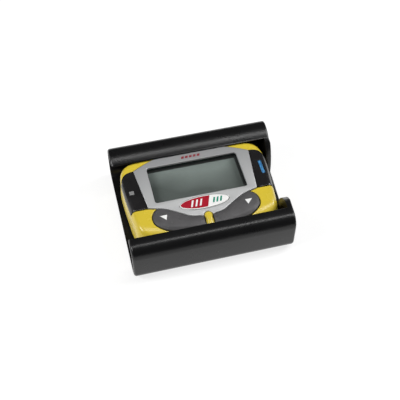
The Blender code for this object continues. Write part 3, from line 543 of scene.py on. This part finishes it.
    look = Look("board_green", colour(24, 82, 54), 0.42)
    track = look.node("ShaderNodeTexBrick")
    track.inputs["Scale"].default_value = 210.0
    track.inputs["Mortar Size"].default_value = 0.03
    look.link(look.place, track.inputs["Vector"])
    look.tint(look.ramp(track.outputs["Fac"], 0.0, 1.0, 0.0, 0.8), colour(64, 128, 84))
    look.tint(look.ramp(look.cells(560.0), 0.0, 0.1, 0.8, 0.0), colour(196, 178, 110))
    look.patchy(0.34, 0.5, 240.0)
    look.bump(track.outputs["Fac"], 0.2, 0.00005)
    looks["board"] = look

    look = Look("chip_black", colour(30, 30, 32), 0.5)
    look.mottle(colour(46, 46, 48), 0.4, 700.0)
    look.grain(0.25, 0.00006, 2500.0)
    looks["chip"] = look

    look = Look("cell_jacket", colour(62, 70, 82), 0.32, Metallic=0.3)
    band = look.node("ShaderNodeTexGradient")
    look.link(look.stretched((30.0, 1.0, 1.0)), band.inputs["Vector"])
    look.tint(look.ramp(band.outputs["Fac"], 0.0, 0.02, 0.0, 0.85), colour(172, 128, 62))
    look.patchy(0.25, 0.4, 200.0)
    look.grain(0.05, 0.00005, 900.0)
    looks["cell"] = look
    return looks


# ---------------------------------------------------------------- mesh tools

def rounding(radius, steps=5):
    """(inset, height) pairs of a rounded edge, from the side wall up to the face."""
    return [(radius * (1 - math.cos(math.pi / 2 * step / steps)),
             radius * math.sin(math.pi / 2 * step / steps)) for step in range(steps + 1)]


def level(outline, z):
    """The outline as points at height z in the pager's own place."""
    return [(x + PAGER_X, y, z) for x, y in outline]


def droop(x, y):
    """How far the pager's face has curved down at x, y."""
    past = max(DROOP_Y + DROOP_BOW * x ** 2 - y, 0.0)
    return past ** 2 / (2 * DROOP_RADIUS)


def drooped(made):
    """Bend an object down along the front of the face, fading out at the parting."""
    for vertex in made.data.vertices:
        share = min(max((vertex.co.z - PARTING_Z) / (SKIN_Z - PARTING_Z), 0.0), 1.0)
        vertex.co.z -= droop(vertex.co.x - PAGER_X, vertex.co.y) * share
    return made


def strip(mesh, loops):
    """Quads between successive closed rings of points; returns the rings' vertices."""
    rings = [[mesh.verts.new(point) for point in loop] for loop in loops]
    count = len(rings[0])
    for lower, upper in zip(rings, rings[1:]):
        for index in range(count):
            after = (index + 1) % count
            mesh.faces.new((lower[index], lower[after], upper[after], upper[index]))
    return rings


def filled(mesh, rings):
    """Triangles over a flat region whose first ring is its edge and whose others are its holes."""
    flat = [vertex for ring in rings for vertex in ring]
    for triangle in tessellate_polygon([[vertex.co for vertex in ring] for ring in rings]):
        mesh.faces.new([flat[index] for index in triangle])


def lofted(mesh, loops):
    """A closed solid through rings of points."""
    rings = strip(mesh, loops)
    mesh.faces.new(reversed(rings[0]))
    mesh.faces.new(rings[-1])


def solid(*bodies):
    """A mesh of closed solids, each given as its rings of points."""
    mesh = bmesh.new()
    for loops in bodies:
        lofted(mesh, loops)
    return mesh


def painted(mesh, slot=1):
    """The mesh with all its faces in one material slot."""
    for face in mesh.faces:
        face.material_index = slot
    return mesh


def finished(name, mesh, look, smooth_angle=40):
    """Turn mesh into an object, smooth except at sharp edges."""
    bmesh.ops.recalc_face_normals(mesh, faces=mesh.faces)
    data = bpy.data.meshes.new(name)
    mesh.to_mesh(data)
    mesh.free()
    data.shade_smooth()
    data.set_sharp_from_angle(angle=math.radians(smooth_angle))
    made = bpy.data.objects.new(name, data)
    bpy.context.scene.collection.objects.link(made)
    if look is not None:
        data.materials.append(look.made)
    return made


def piece(made, body, slot, *nodes):
    """Give a new piece its body and the CAD nodes it stands for; the slot argument is not used."""
    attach(made, body)
    if nodes:
        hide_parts(*nodes)
    return made


def settled(made, angle=40):
    """Apply all modifiers, so that the mesh is final, and shade it."""
    graph = bpy.context.evaluated_depsgraph_get()
    data = bpy.data.meshes.new_from_object(made.evaluated_get(graph))
    made.modifiers.clear()
    made.data = data
    data.shade_smooth()
    data.set_sharp_from_angle(angle=math.radians(angle))
    return made


def combined(target, mesh, operation="DIFFERENCE"):
    """Cut the shapes in mesh out of target, or join them to it."""
    other = finished("other", mesh, None)
    step = target.modifiers.new("step", "BOOLEAN")
    step.operation = operation
    step.solver = "EXACT"
    step.object = other
    settled(target)
    bpy.data.objects.remove(other, do_unlink=True)
    return target


def softened(made, width, where=None, angle=35, segments=3):
    """Round off an object's sharp edges, or those of them whose middle passes a test."""
    soft = made.modifiers.new("soft_edges", "BEVEL")
    soft.width = width
    soft.segments = segments
    soft.harden_normals = True
    if where is None:
        soft.limit_method = "ANGLE"
        soft.angle_limit = math.radians(angle)
        return settled(made)
    soft.limit_method = "WEIGHT"
    mesh = bmesh.new()
    mesh.from_mesh(made.data)
    weights = mesh.edges.layers.float.new("bevel_weight_edge")
    for edge in mesh.edges:
        middle = (edge.verts[0].co + edge.verts[1].co) / 2
        if len(edge.link_faces) == 2 and edge.calc_face_angle() > math.radians(angle) and where(middle):
            edge[weights] = 1.0
    mesh.to_mesh(made.data)
    mesh.free()
    return settled(made)


def slab(outline, low, high, edge=0.0, steps=3):
    """Rings of a plate whose upper edge is rounded."""
    loops = [level(outline, low)]
    if edge == 0.0:
        return loops + [level(outline, high)]
    for inset, rise in rounding(edge, steps):
        loops.append(level(grown(outline, -inset), high - edge + rise))
    return loops


def plate(name, outline, holes, low, high, edge, look):
    """A flat plate with holes and rounded upper edges."""
    mesh = bmesh.new()
    bottom = []
    top = []
    for index, loop in enumerate([outline] + holes):
        inward = -1 if index == 0 else 1
        loops = [level(loop, low)]
        for inset, rise in rounding(edge, 3):
            loops.append(level(grown(loop, inward * inset), high - edge + rise))
        rings = strip(mesh, loops)
        bottom.append(rings[0])
        top.append(rings[-1])
    filled(mesh, top)
    filled(mesh, bottom)
    return finished(name, mesh, look)


def pocket(outline, floor, rim, flare):
    """A cutter with a rounded mouth at height rim; below the mouth its walls and floor take material
    slot 1, painted shade down in the pocket.
    """
    loops = [level(outline, floor), level(outline, rim - flare)]
    for _, rise in rounding(flare, 3)[1:]:
        opening = flare - math.sqrt(max(flare ** 2 - rise ** 2, 0.0))
        loops.append(level(grown(outline, opening), rim - flare + rise))
    loops.append(level(grown(outline, flare), rim + CUTTER_REACH))
    mesh = solid(loops)
    # Painted shade: faces below the mouth get the black slot.
    for face in mesh.faces:
        if face.calc_center_median().z < rim - flare:
            face.material_index = 1
    return mesh


# ---------------------------------------------------------------- holster

def holster(looks):
    """The bent sheet with its end wall and the finger scoop between the wall's two cheeks."""
    high = SHELL_HIGH.z
    rear = SHELL_HIGH.y - ROLL_RADIUS
    front = SHELL_LOW.y + ROLL_RADIUS
    top = high - ROLL_RADIUS
    left = SHELL_LOW.x

    def section(radius, lips):
        """The sheet's section round its back and rolls, with the given points between its lips."""
        line = arc(front, ROLL_RADIUS, radius, radius, 180, 270, ROLL_STEPS)
        line += arc(rear, ROLL_RADIUS, radius, radius, 270, 360, ROLL_STEPS)
        line += arc(rear, top, radius, radius, 0, 90, ROLL_STEPS)
        line += lips
        return line + arc(front, top, radius, radius, 90, 180, ROLL_STEPS)

    def along(line, x, skew=END_SKEW):
        """The (y, z) line as a ring at x, slanted by skew."""
        return [(x + skew * y, y, z) for y, z in line]

    curl = []
    for step in range(CURL_STEPS + 1):
        share = step / CURL_STEPS
        y = REAR_CURL_Y + (REAR_LIP_Y - REAR_CURL_Y) * share
        curl.append((y, high - REAR_LIP_DROP * share ** REAR_CURL_POWER))
    outer = section(ROLL_RADIUS, curl + [(FRONT_LIP_Y, high)])
    loops = []
    for inset, rise in reversed(rounding(LEFT_FILLET, 6)):
        loops.append(along(grown(outer, -inset), left + LEFT_FILLET - rise, 0.0))
    for inset, rise in rounding(END_FILLET, 6):
        loops.append(along(grown(outer, -inset), END_X - END_FILLET + rise))
    shell = finished("holster", solid(loops), looks["holster"])

    above = high + 5 * MM
    rounded_y = FRONT_LIP_Y - LIP_ROUND
    lips = [(REAR_LIP_Y, REAR_LIP_UNDERSIDE_Z), (REAR_LIP_Y, above), (rounded_y, above)]
    lips += arc(rounded_y, high - LIP_ROUND, LIP_ROUND, LIP_ROUND, 90, 0, 6)
    lips += [(FRONT_LIP_Y, high - SHEET)]
    inside = section(ROLL_RADIUS - SHEET, lips)
    combined(shell, solid([along(inside, left - SHEET, 0.0), along(inside, END_X - END_WALL)]))

    rear_y, rear_width = REAR_CHEEK
    front_y, front_width = FRONT_CHEEK
    rise = high - SCOOP_FLOOR
    scoop = arc(rear_y, SCOOP_FLOOR, rear_width, rise, 180, 90, CHEEK_STEPS)
    scoop += [(rear_y, above), (front_y, above)]
    scoop += arc(front_y, SCOOP_FLOOR, front_width, rise, 90, 0, CHEEK_STEPS)
    combined(shell, solid([along(scoop, END_X - SCOOP_DEPTH), along(scoop, END_X + 5 * MM)]))

    def at_end(place):
        """Whether an edge belongs to the right end's wall or its scoop."""
        return place.x > END_X - SCOOP_DEPTH - MM and place.z < high - MM

    softened(shell, CHEEK_EDGE, at_end)
    return piece(shell, "holster", "holster_black", "holster_shell")


# ---------------------------------------------------------------- pager

def dome(rise, shrink=0.0, slot=0):
    """The case's outer form, raised by rise and shrunk all round, with even rings over its face."""
    top = FACE_Z + rise
    start_y, end_y, growth = EDGE_SOFTENING
    rings = [level(case_outline(shrink - CASE_DRAFT), PARTING_Z + GAP)]
    for inset, height in rounding(CASE_EDGE, 8):
        ring = []
        for x, y, z in level(case_outline(inset + shrink), top - CASE_EDGE + height):
            share = min(max((start_y - y) / (start_y - end_y), 0.0), 1.0)
            ring.append((x, y, top - (top - z) * (1 + (growth - 1) * share)))
        rings.append(ring)
    edge = case_outline(CASE_EDGE + shrink)
    for scale in FACE_RINGS:
        rings.append(level([(x * scale, y * scale) for x, y in edge], top))
    return painted(solid(rings), slot)


def front_case(looks):
    """The yellow shell: rounded, drafted, curving down in front, with pockets whose walls and floors are
    painted black as shade.
    """
    case = finished("front_case_shell", dome(0.0), looks["yellow"])
    # Slot 1 is black: painted shade on the faces the cutters leave in the pockets, the openings and the
    # hollow inside.
    case.data.materials.append(looks["black"].made)
    combined(case, painted(solid(slab(case_outline(CASE_WALL), PARTING_Z - MM, SKIN_Z))))
    combined(case, pocket(grown(plate_outline(), PLATE_GROOVE), PLATE_LOW.z - GAP, FACE_Z, 0.2 * MM))
    for outline in (panel_outline(), mirrored(panel_outline())):
        cutter = pocket(grown(outline, GAP), PANEL_WRAP_Z - GAP, FACE_Z, 0.15 * MM)
        seat = finished("panel_seat", cutter, None)
        combined(seat, dome(-PANEL_WRAP - GAP, PANEL_WRAP + GAP, 1))
        mesh = bmesh.new()
        mesh.from_mesh(seat.data)
        bpy.data.objects.remove(seat, do_unlink=True)
        combined(case, mesh)
    for outline in (wing_outline(), mirrored(wing_outline())):
        combined(case, pocket(outline, WING_FLOOR_Z, FACE_Z, 0.3 * MM))
    openings = [slab(window_outline(LENS_SEAT), SKIN_Z - MM, FACE_Z)]
    for x in (-STEM[0], STEM[0]):
        openings.append(slab(stem_outline(x, STEM_HOLE), SKIN_Z - MM, FACE_Z))
    combined(case, painted(solid(*openings)))
    drooped(case)
    settled(case)
    return piece(case, "pager", "case_yellow", "front_case")


def face_plate(looks):
    """Silver plate with the window, the badge's seat and a notch for the rib's hood."""
    hood_y = RIB_HIGH.y - HOOD_RADIUS
    notch = HOOD_RADIUS + GAP
    lift = in_metres(SMILE_POINTS)[0][1] - hood_y
    start = math.degrees(math.asin(lift / notch))
    right = arc(0.0, hood_y, notch, notch, 90, start, 6)
    smile = smooth_path(in_metres(SMILE_POINTS), PATH_STEPS)
    right += [point for point in smile if point[0] > right[-1][0] + GAP]
    right += plate_crown()
    outline = right + mirrored(right)[1:-1]
    made = plate("silver_plate", outline, [window_outline(), emblem_outline(GAP)],
                 PLATE_LOW.z, PLATE_Z, PLATE_EDGE, looks["silver"])
    return piece(made, "pager", "plate_silver", "face_plate")


def end_panel(side, looks):
    """A dark end panel that follows the case's rounded edge, with a slot for its insert."""
    outline = panel_outline()
    box = LIGHT_BOX
    if side == "left":
        outline = mirrored(outline)
        box = MARK_BOX
    blank = solid(slab(outline, PANEL_WRAP_Z, PLATE_Z + MM))
    panel = finished(side + "_end_panel", blank, looks["panel"])
    combined(panel, dome(PLATE_Z - FACE_Z), "INTERSECT")
    combined(panel, dome(-PANEL_WRAP, PANEL_WRAP))
    x0, x1, y0, y1 = box
    slot = rounded_box(x0 - GAP / 2, x1 + GAP / 2, y0 - GAP / 2, y1 + GAP / 2, 0.3 * MM)
    combined(panel, solid(slab(slot, PANEL_WRAP_Z, PLATE_Z + CUTTER_REACH)))
    softened(panel, PANEL_EDGE, angle=30)
    return piece(panel, "pager", "panel_black", side + "_panel")


def inserts(looks):
    """The blue light and the small square mark, each in its end panel."""
    for name, look, slot, node, box, proud, edge, steps in (
            ("light_lens", "blue", "light_blue", "status_light", LIGHT_BOX, 0.3 * MM, 0.4 * MM, 5),
            ("square_mark", "mark", "mark_grey", "panel_mark", MARK_BOX, 0.08 * MM, 0.2 * MM, 3)):
        outline = rounded_box(*box, INSERT_CORNER)
        mesh = solid(slab(outline, PLATE_LOW.z, PLATE_Z + proud, edge, steps))
        piece(finished(name, mesh, looks[look]), "pager", slot, node)


def badge(looks):
    """Oval badge with a pale ground, a red field and slanting bars."""
    ground = solid(slab(emblem_outline(), PLATE_LOW.z, PLATE_Z + 0.12 * MM, 0.25 * MM))
    piece(finished("badge", ground, looks["print"]), "pager", "emblem_red", "emblem")
    centre_y = EMBLEM_CENTRE[1]
    top = PLATE_Z + 0.16 * MM
    base = PLATE_Z - PRINT_DEPTH

    def split(y):
        """Where the red field ends at y."""
        return FIELD_END + BAR_SLANT * (y - centre_y)

    field = [(min(x, split(y)), y) for x, y in emblem_outline(-FIELD_MARGIN, 96)]
    piece(finished("badge_field", solid(slab(field, base, top)), looks["red"]), "pager", "emblem_red")
    for name, look, places, high in (("badge_bars_pale", "print", (-6.6, -4.4, -2.2), 2.0),
                                     ("badge_bars_green", "green", (4.4, 6.2, 8.0), 1.5)):
        half = high * MM
        bars = []
        for place in places:
            low_x = place * MM - BAR_SLANT * half
            up_x = place * MM + BAR_SLANT * half
            bar = [(low_x, centre_y - half), (low_x + BAR_WIDTH, centre_y - half),
                   (up_x + BAR_WIDTH, centre_y + half), (up_x, centre_y + half)]
            bars.append(slab(bar, base, top + 0.04 * MM))
        piece(finished(name, solid(*bars), looks[look]), "pager", "emblem_red")


def brow_mark(looks):
    """A row of short slanting red bars printed above the display."""
    bars = []
    for index in range(BROW_BARS):
        x = BROW_X + BROW_PITCH * index
        bar = [(x, BROW_Y[0]), (x + BROW_WIDTH, BROW_Y[0]),
               (x + BROW_WIDTH + BROW_SLANT, BROW_Y[1]), (x + BROW_SLANT, BROW_Y[1])]
        bars.append(slab(bar, PLATE_Z - PRINT_DEPTH, PLATE_Z + PRINT_RISE))
    piece(finished("brow_bars", solid(*bars), looks["brow"]), "pager", "emblem_red")


def wing_key(side, looks):
    """A wing key: rounded rim, gently domed top, stem and an inlaid arrow."""
    outline = wing_outline(-WING_GROOVE)
    arrow = in_metres(ARROW_POINTS)
    sign = 1
    if side == "left":
        outline = mirrored(outline)
        arrow = mirrored(arrow)
        sign = -1
    low, high = limits(side + "_button")
    loops = [level(outline, WING_LOW_Z)]
    for inset, rise in rounding(WING_EDGE, 5):
        loops.append(level(grown(outline, -inset), high.z - WING_CROWN - WING_EDGE + rise))
    for share in (0.25, 0.5, 0.75, 1.0):
        inset = WING_EDGE + WING_SLOPE * share
        loops.append(level(grown(outline, -inset), high.z - WING_CROWN * (1 - share) ** 2))
    key = finished(side + "_wing_key", solid(loops), looks["key"])
    stem = solid(slab(stem_outline(sign * STEM[0], STEM_RADIUS), low.z, WING_LOW_Z + 0.5 * MM))
    combined(key, stem, "UNION")
    drooped(key)
    piece(key, side + "_key", "key_grey", side + "_button")
    mesh = solid(slab(arrow, high.z - 0.3 * MM, high.z + PRINT_RISE))
    piece(finished(side + "_arrow", mesh, looks["print"]), side + "_key", "key_grey")


def centre_rib(looks):
    """The yellow rib between the keys, domed across, with a round hood at its upper end."""
    half = RIB_HIGH.x - PAGER_X
    hood_y = RIB_HIGH.y - HOOD_RADIUS
    right = [(half, RIB_LOW.y), (half, hood_y - NECK_LENGTH),
             (HOOD_RADIUS - 0.1 * MM, hood_y - NECK_LENGTH / 3)]
    line = right + arc(0.0, hood_y, HOOD_RADIUS, HOOD_RADIUS, 0, 180, 16)
    line += mirrored(right)
    loops = [level(line, FACE_Z - RIB_ROOT)]
    for inset, rise in rounding(RIB_EDGE, 7):
        loops.append(level(grown(line, -inset), RIB_HIGH.z + 0.1 * MM - RIB_EDGE + rise))
    rib = finished("rib", solid(loops), looks["yellow"])
    drooped(rib)
    piece(rib, "pager", "case_yellow", "centre_rib")


def display(looks):
    """Clear lens over the liquid crystal and the dark gasket between them; the gasket's wider top and
    right lips are painted shadow of the window's edge.
    """
    half, bottom, top = WINDOW
    left, right, lower, upper = GASKET_LIPS_AND_SHADOW
    view = rounded_box(-half + left, half - right, bottom + lower, top - upper, GASKET_CORNER)
    gasket = plate("window_gasket_and_shadow", window_outline(LENS_MARGIN), [view], LENS_LOW.z - 0.45 * MM,
                   LENS_LOW.z - 0.1 * MM, 0.1 * MM, looks["black"])
    piece(gasket, "pager", "case_black")
    mesh = solid(slab(window_outline(LENS_MARGIN), LENS_LOW.z, LENS_HIGH.z, 0.2 * MM))
    piece(finished("window_lens", mesh, looks["lens"]), "pager", "lens_clear", "display_lens")


# ---------------------------------------------------------------- inside the pager

COIL_TURNS = 44
CAN_END = 4.0 * MM                  # the motor can's end, from the shaft's tip
LEGS = 12
LEG_PITCH = 0.9 * MM

# The cell's outline in millimetres: distance from its end, and inset from its radius
CELL_BASE = [(0.0, 1.4), (0.1, 0.5), (0.25, 0.15), (0.5, 0.0)]
CELL_CAP = [(4.2, 0.0), (3.9, 0.3), (3.4, 0.3), (3.1, 0.0), (1.4, 0.0), (1.0, 0.2), (0.85, 0.7)]
# Distance from the end, and radius
CELL_NUB = [(0.85, 2.0), (0.2, 1.9), (0.0, 1.6)]
SHAFT = [(3.7, 1.0), (3.2, 1.0), (3.2, 0.4), (0.1, 0.4)]
# The display cell's sides: inset, and height above its base or depth below its top
GLASS_STEPS = [(0.05, 0.0), (0.0, 0.1), (0.0, 0.8), (0.05, 0.85), (0.35, 0.85)]
POLARISER_STEPS = [(0.35, 0.25), (0.5, 0.2), (0.5, 0.05), (0.6, 0.0)]


def centre(node):
    """The middle of a CAD node's box, and half its size."""
    low, high = limits(node)
    return (low + high) / 2, (high - low) / 2


def turned(place, profile, sides=32):
    """Rings turned about a line along X through place, from (x, radius) pairs, x from place."""
    loops = []
    for along, radius in profile:
        ring = []
        for side in range(sides):
            angle = 2 * math.pi * side / sides
            y = place.y + radius * math.cos(angle)
            z = place.z + radius * math.sin(angle)
            ring.append((place.x + along, y, z))
        loops.append(ring)
    return loops


def oblong(x, y, z, wide, deep):
    """A rectangle's corners at height z, from its middle and half sizes."""
    return [(x - wide, y - deep, z), (x + wide, y - deep, z),
            (x + wide, y + deep, z), (x - wide, y + deep, z)]


def hung(x, y, z, width, depth, drop, edge):
    """Rings of a small body that hangs down from z by drop, with softened lower edges."""
    return [oblong(x, y, z, width / 2, depth / 2), oblong(x, y, z - (drop - edge), width / 2, depth / 2),
            oblong(x, y, z - drop, width / 2 - edge, depth / 2 - edge)]


def winding(looks):
    """The aerial's coil: close turns of wire on the rod."""
    place, half = centre("antenna_coil")
    wire = half.x / COIL_TURNS
    profile = [(-half.x, half.y - 2 * wire)]
    for step in range(COIL_TURNS * 4 + 1):
        swell = abs(math.sin(math.pi * step / 4))
        profile.append((-half.x + wire * step / 2, half.y - wire * (1 - swell)))
    profile.append((half.x, half.y - 2 * wire))
    coil = finished("aerial_winding", solid(turned(place, profile, 24)), looks["copper"], 60)
    hole = centre("antenna_rod")[1].y + GAP / 2
    combined(coil, solid(turned(place, [(-half.x - MM, hole), (half.x + MM, hole)], 24)))
    piece(coil, "pager", "winding_copper", "antenna_coil")


def battery_cell(looks):
    """The cell: rolled rims, a groove at the cap and the nub."""
    place, half = centre("battery_cell")
    profile = [(-half.x + along * MM, half.y - inset * MM) for along, inset in CELL_BASE]
    profile += [(half.x - along * MM, half.y - inset * MM) for along, inset in CELL_CAP]
    profile += [(half.x - along * MM, radius * MM) for along, radius in CELL_NUB]
    cell = finished("battery_can", solid(turned(place, profile, 48)), looks["cell"], 30)
    piece(cell, "pager", "cell_jacket", "battery_cell")


def shaker(looks):
    """The vibration motor: a can with a stepped end, a shaft and its off-centre weight."""
    place, half = centre("vibration_motor")
    radius = half.y
    profile = [(-half.x, radius - GAP), (-half.x + GAP, radius), (half.x - CAN_END, radius),
               (half.x - CAN_END + GAP, radius - GAP)]
    profile += [(half.x - along * MM, size * MM) for along, size in SHAFT]
    motor = finished("motor_can", solid(turned(place, profile)), looks["steel"], 30)
    reach = radius - 0.2 * MM
    weight = [(0.5 * MM, -0.5 * MM)] + arc(0.0, 0.0, reach, reach, -20, 200, 14)
    weight.append((-0.5 * MM, -0.5 * MM))
    ends = (half.x - 2.6 * MM, half.x - 0.3 * MM)
    rings = [[(place.x + x, place.y + y, place.z + z) for y, z in weight] for x in ends]
    combined(motor, solid(rings), "UNION")
    piece(motor, "pager", "plated_steel", "vibration_motor")


def board_parts(looks):
    """Small parts soldered to the underside of the main board, and the processor's legs."""
    board_z = limits("main_board")[0].z
    chips = []
    ends = []
    for row in range(4):
        y = (-5.6 + 2.2 * row) * MM
        for column in range(5):
            x = PAGER_X + (11.5 + 3.4 * column) * MM
            drop = (0.6 + 0.35 * ((row + column) % 3)) * MM
            chips.append(hung(x, y, board_z, 1.9 * MM, 1.1 * MM, drop, 0.12 * MM))
            for end in (-1.15 * MM, 1.15 * MM):
                ends.append(hung(x + end, y, board_z, 0.4 * MM, 1.0 * MM, 0.35 * MM, 0.1 * MM))
    piece(finished("board_chips", solid(*chips), looks["chip"]), "pager", "chip_black")
    place, half = centre("processor_chip")
    for index in range(LEGS):
        y = place.y + (index - (LEGS - 1) / 2) * LEG_PITCH
        for x in (place.x - half.x - 0.5 * MM, place.x + half.x + 0.5 * MM):
            ends.append(hung(x, y, board_z, 0.8 * MM, 0.35 * MM, 0.5 * MM, 0.08 * MM))
    piece(finished("solder_ends", solid(*ends), looks["steel"]), "pager", "plated_steel")


def display_cell(looks):
    """The liquid-crystal cell: lower glass, upper glass and polariser in steps."""
    place, half = centre("lcd_glass")
    rings = []
    for inset, rise in GLASS_STEPS:
        z = place.z - half.z + rise * MM
        rings.append(oblong(place.x, place.y, z, half.x - inset * MM, half.y - inset * MM))
    for inset, drop in POLARISER_STEPS:
        z = place.z + half.z - drop * MM
        rings.append(oblong(place.x, place.y, z, half.x - inset * MM, half.y - inset * MM))
    piece(finished("lcd_cell", solid(rings), looks["lcd"], 30), "pager", "lcd_grey", "lcd_glass")


# ---------------------------------------------------------------- camera, light and floor

FLOOR_HALF = 1.5
FLOOR_DROP = 0.05 * MM              # keeps the floor clear of the holster's back
WORLD_LIGHT = 0.07
WORLD_SEEN = 0.94                   # how bright the surroundings look past the floor's edge
LIGHTS = (
    ("overhead_strip", (0.15, 0.07, 0.99), 0.8, 0.12, 2.9),
    ("left_softbox", (-0.9, 0.0, 0.75), 0.5, 0.5, 9.0),
    ("right_softbox", (0.9, 0.1, 0.75), 0.5, 0.5, 9.0),
)
CAMERA_LENS = 67.09
CAMERA_PLACE = Vector((-57.92, -230.17, 310.67)) * MM
CAMERA_RIGHT = Vector((0.9703, -0.2419, 0.0))
CAMERA_UP = Vector((0.1907, 0.7648, 0.6154))
CAMERA_BACK = Vector((-0.1489, -0.5971, 0.7882))


def softbox(name, place, width, height, power):
    """A soft rectangular studio light aimed at the origin, its width along X."""
    back = Vector(place).normalized()
    across = (Vector((1.0, 0.0, 0.0)) - back * back.x).normalized()
    lamp = bpy.data.objects.new(name, bpy.data.lights.new(name, "AREA"))
    lamp.data.shape = "RECTANGLE"
    lamp.data.size = width
    lamp.data.size_y = height
    lamp.data.energy = power
    lamp.location = place
    lamp.rotation_euler = Matrix((across, back.cross(across), back)).transposed().to_euler()
    bpy.context.scene.collection.objects.link(lamp)


def studio():
    """Pale floor, pale surroundings, soft lights and the camera."""
    scene = bpy.context.scene
    scene.view_settings.view_transform = "Standard"
    world = bpy.data.worlds.new("studio_world")
    world.use_nodes = True
    backdrop = world.node_tree.nodes["Background"]
    backdrop.inputs["Color"].default_value = (1.0, 1.0, 1.0, 1.0)
    seen = world.node_tree.nodes.new("ShaderNodeLightPath")
    strength = world.node_tree.nodes.new("ShaderNodeMapRange")
    strength.inputs["To Min"].default_value = WORLD_LIGHT
    strength.inputs["To Max"].default_value = WORLD_SEEN
    world.node_tree.links.new(seen.outputs["Is Camera Ray"], strength.inputs["Value"])
    world.node_tree.links.new(strength.outputs["Result"], backdrop.inputs["Strength"])
    scene.world = world

    mesh = bmesh.new()
    bmesh.ops.create_grid(mesh, x_segments=1, y_segments=1, size=FLOOR_HALF)
    floor = finished("studio_floor", mesh, None)
    floor.location.z = -FLOOR_DROP
    look = Look("floor_white", colour(140, 140, 140), 0.9, Emission_Strength=0.78)
    look.shader.inputs["Emission Color"].default_value = (1.0, 1.0, 1.0, 1.0)
    look.mottle(colour(136, 136, 136), 0.2, 3.0, low=0.3)
    floor.data.materials.append(look.made)

    for name, place, width, height, power in LIGHTS:
        softbox(name, place, width, height, power)

    camera = bpy.data.objects.new("camera", bpy.data.cameras.new("camera"))
    scene.collection.objects.link(camera)
    camera.data.lens = CAMERA_LENS
    camera.data.clip_start = 0.01
    placed = Matrix((CAMERA_RIGHT, CAMERA_UP, CAMERA_BACK)).transposed().to_4x4()
    placed.translation = CAMERA_PLACE
    camera.matrix_world = placed
    scene.camera = camera


SCREWS = ["case_screw_%d" % number for number in range(1, 5)]

# Each CAD node that stays, with its look and the width of its soft edges in millimetres
CAD_LOOKS = {
    "rear_case": ("black", 0.25), "battery_door": ("black", 0.2), "earphone_jack": ("black", 0.25),
    "buzzer": ("black", 0.3), "main_board": ("board", 0.1), "key_board": ("board", 0.1),
    "rf_shield": ("steel", 0.2), "processor_chip": ("chip", 0.15), "crystal_filter": ("steel", 0.25),
    "status_led": ("white", 0.15), "lcd_backlight": ("white", 0.2), "lcd_frame": ("steel", 0.15),
    "battery_contact": ("steel", 0.1), "battery_spring": ("steel", 0.0), "antenna_rod": ("ferrite", 0.0),
    "dome_switch_left": ("steel", 0.0), "dome_switch_right": ("steel", 0.0),
}
CAD_LOOKS.update({screw: ("steel", 0.12) for screw in SCREWS})


def dress_cad(looks):
    """Give the CAD nodes that stay their material and, where they have edges, a soft bevel."""
    for node, (look, width) in CAD_LOOKS.items():
        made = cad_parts[node]
        made.data.materials.clear()
        made.data.materials.append(looks[look].made)
        if width == 0.0:
            continue
        soft = made.modifiers.new("soft_edges", "BEVEL")
        soft.width = width * MM
        soft.segments = 2
        soft.limit_method = "ANGLE"
        soft.angle_limit = math.radians(40)
        soft.harden_normals = True


studio()
looks = make_looks()
dress_cad(looks)
holster(looks)
front_case(looks)
face_plate(looks)
for side in ("left", "right"):
    end_panel(side, looks)
    wing_key(side, looks)
inserts(looks)
badge(looks)
brow_mark(looks)
centre_rib(looks)
display(looks)
display_cell(looks)
winding(looks)
battery_cell(looks)
shaker(looks)
board_parts(looks)
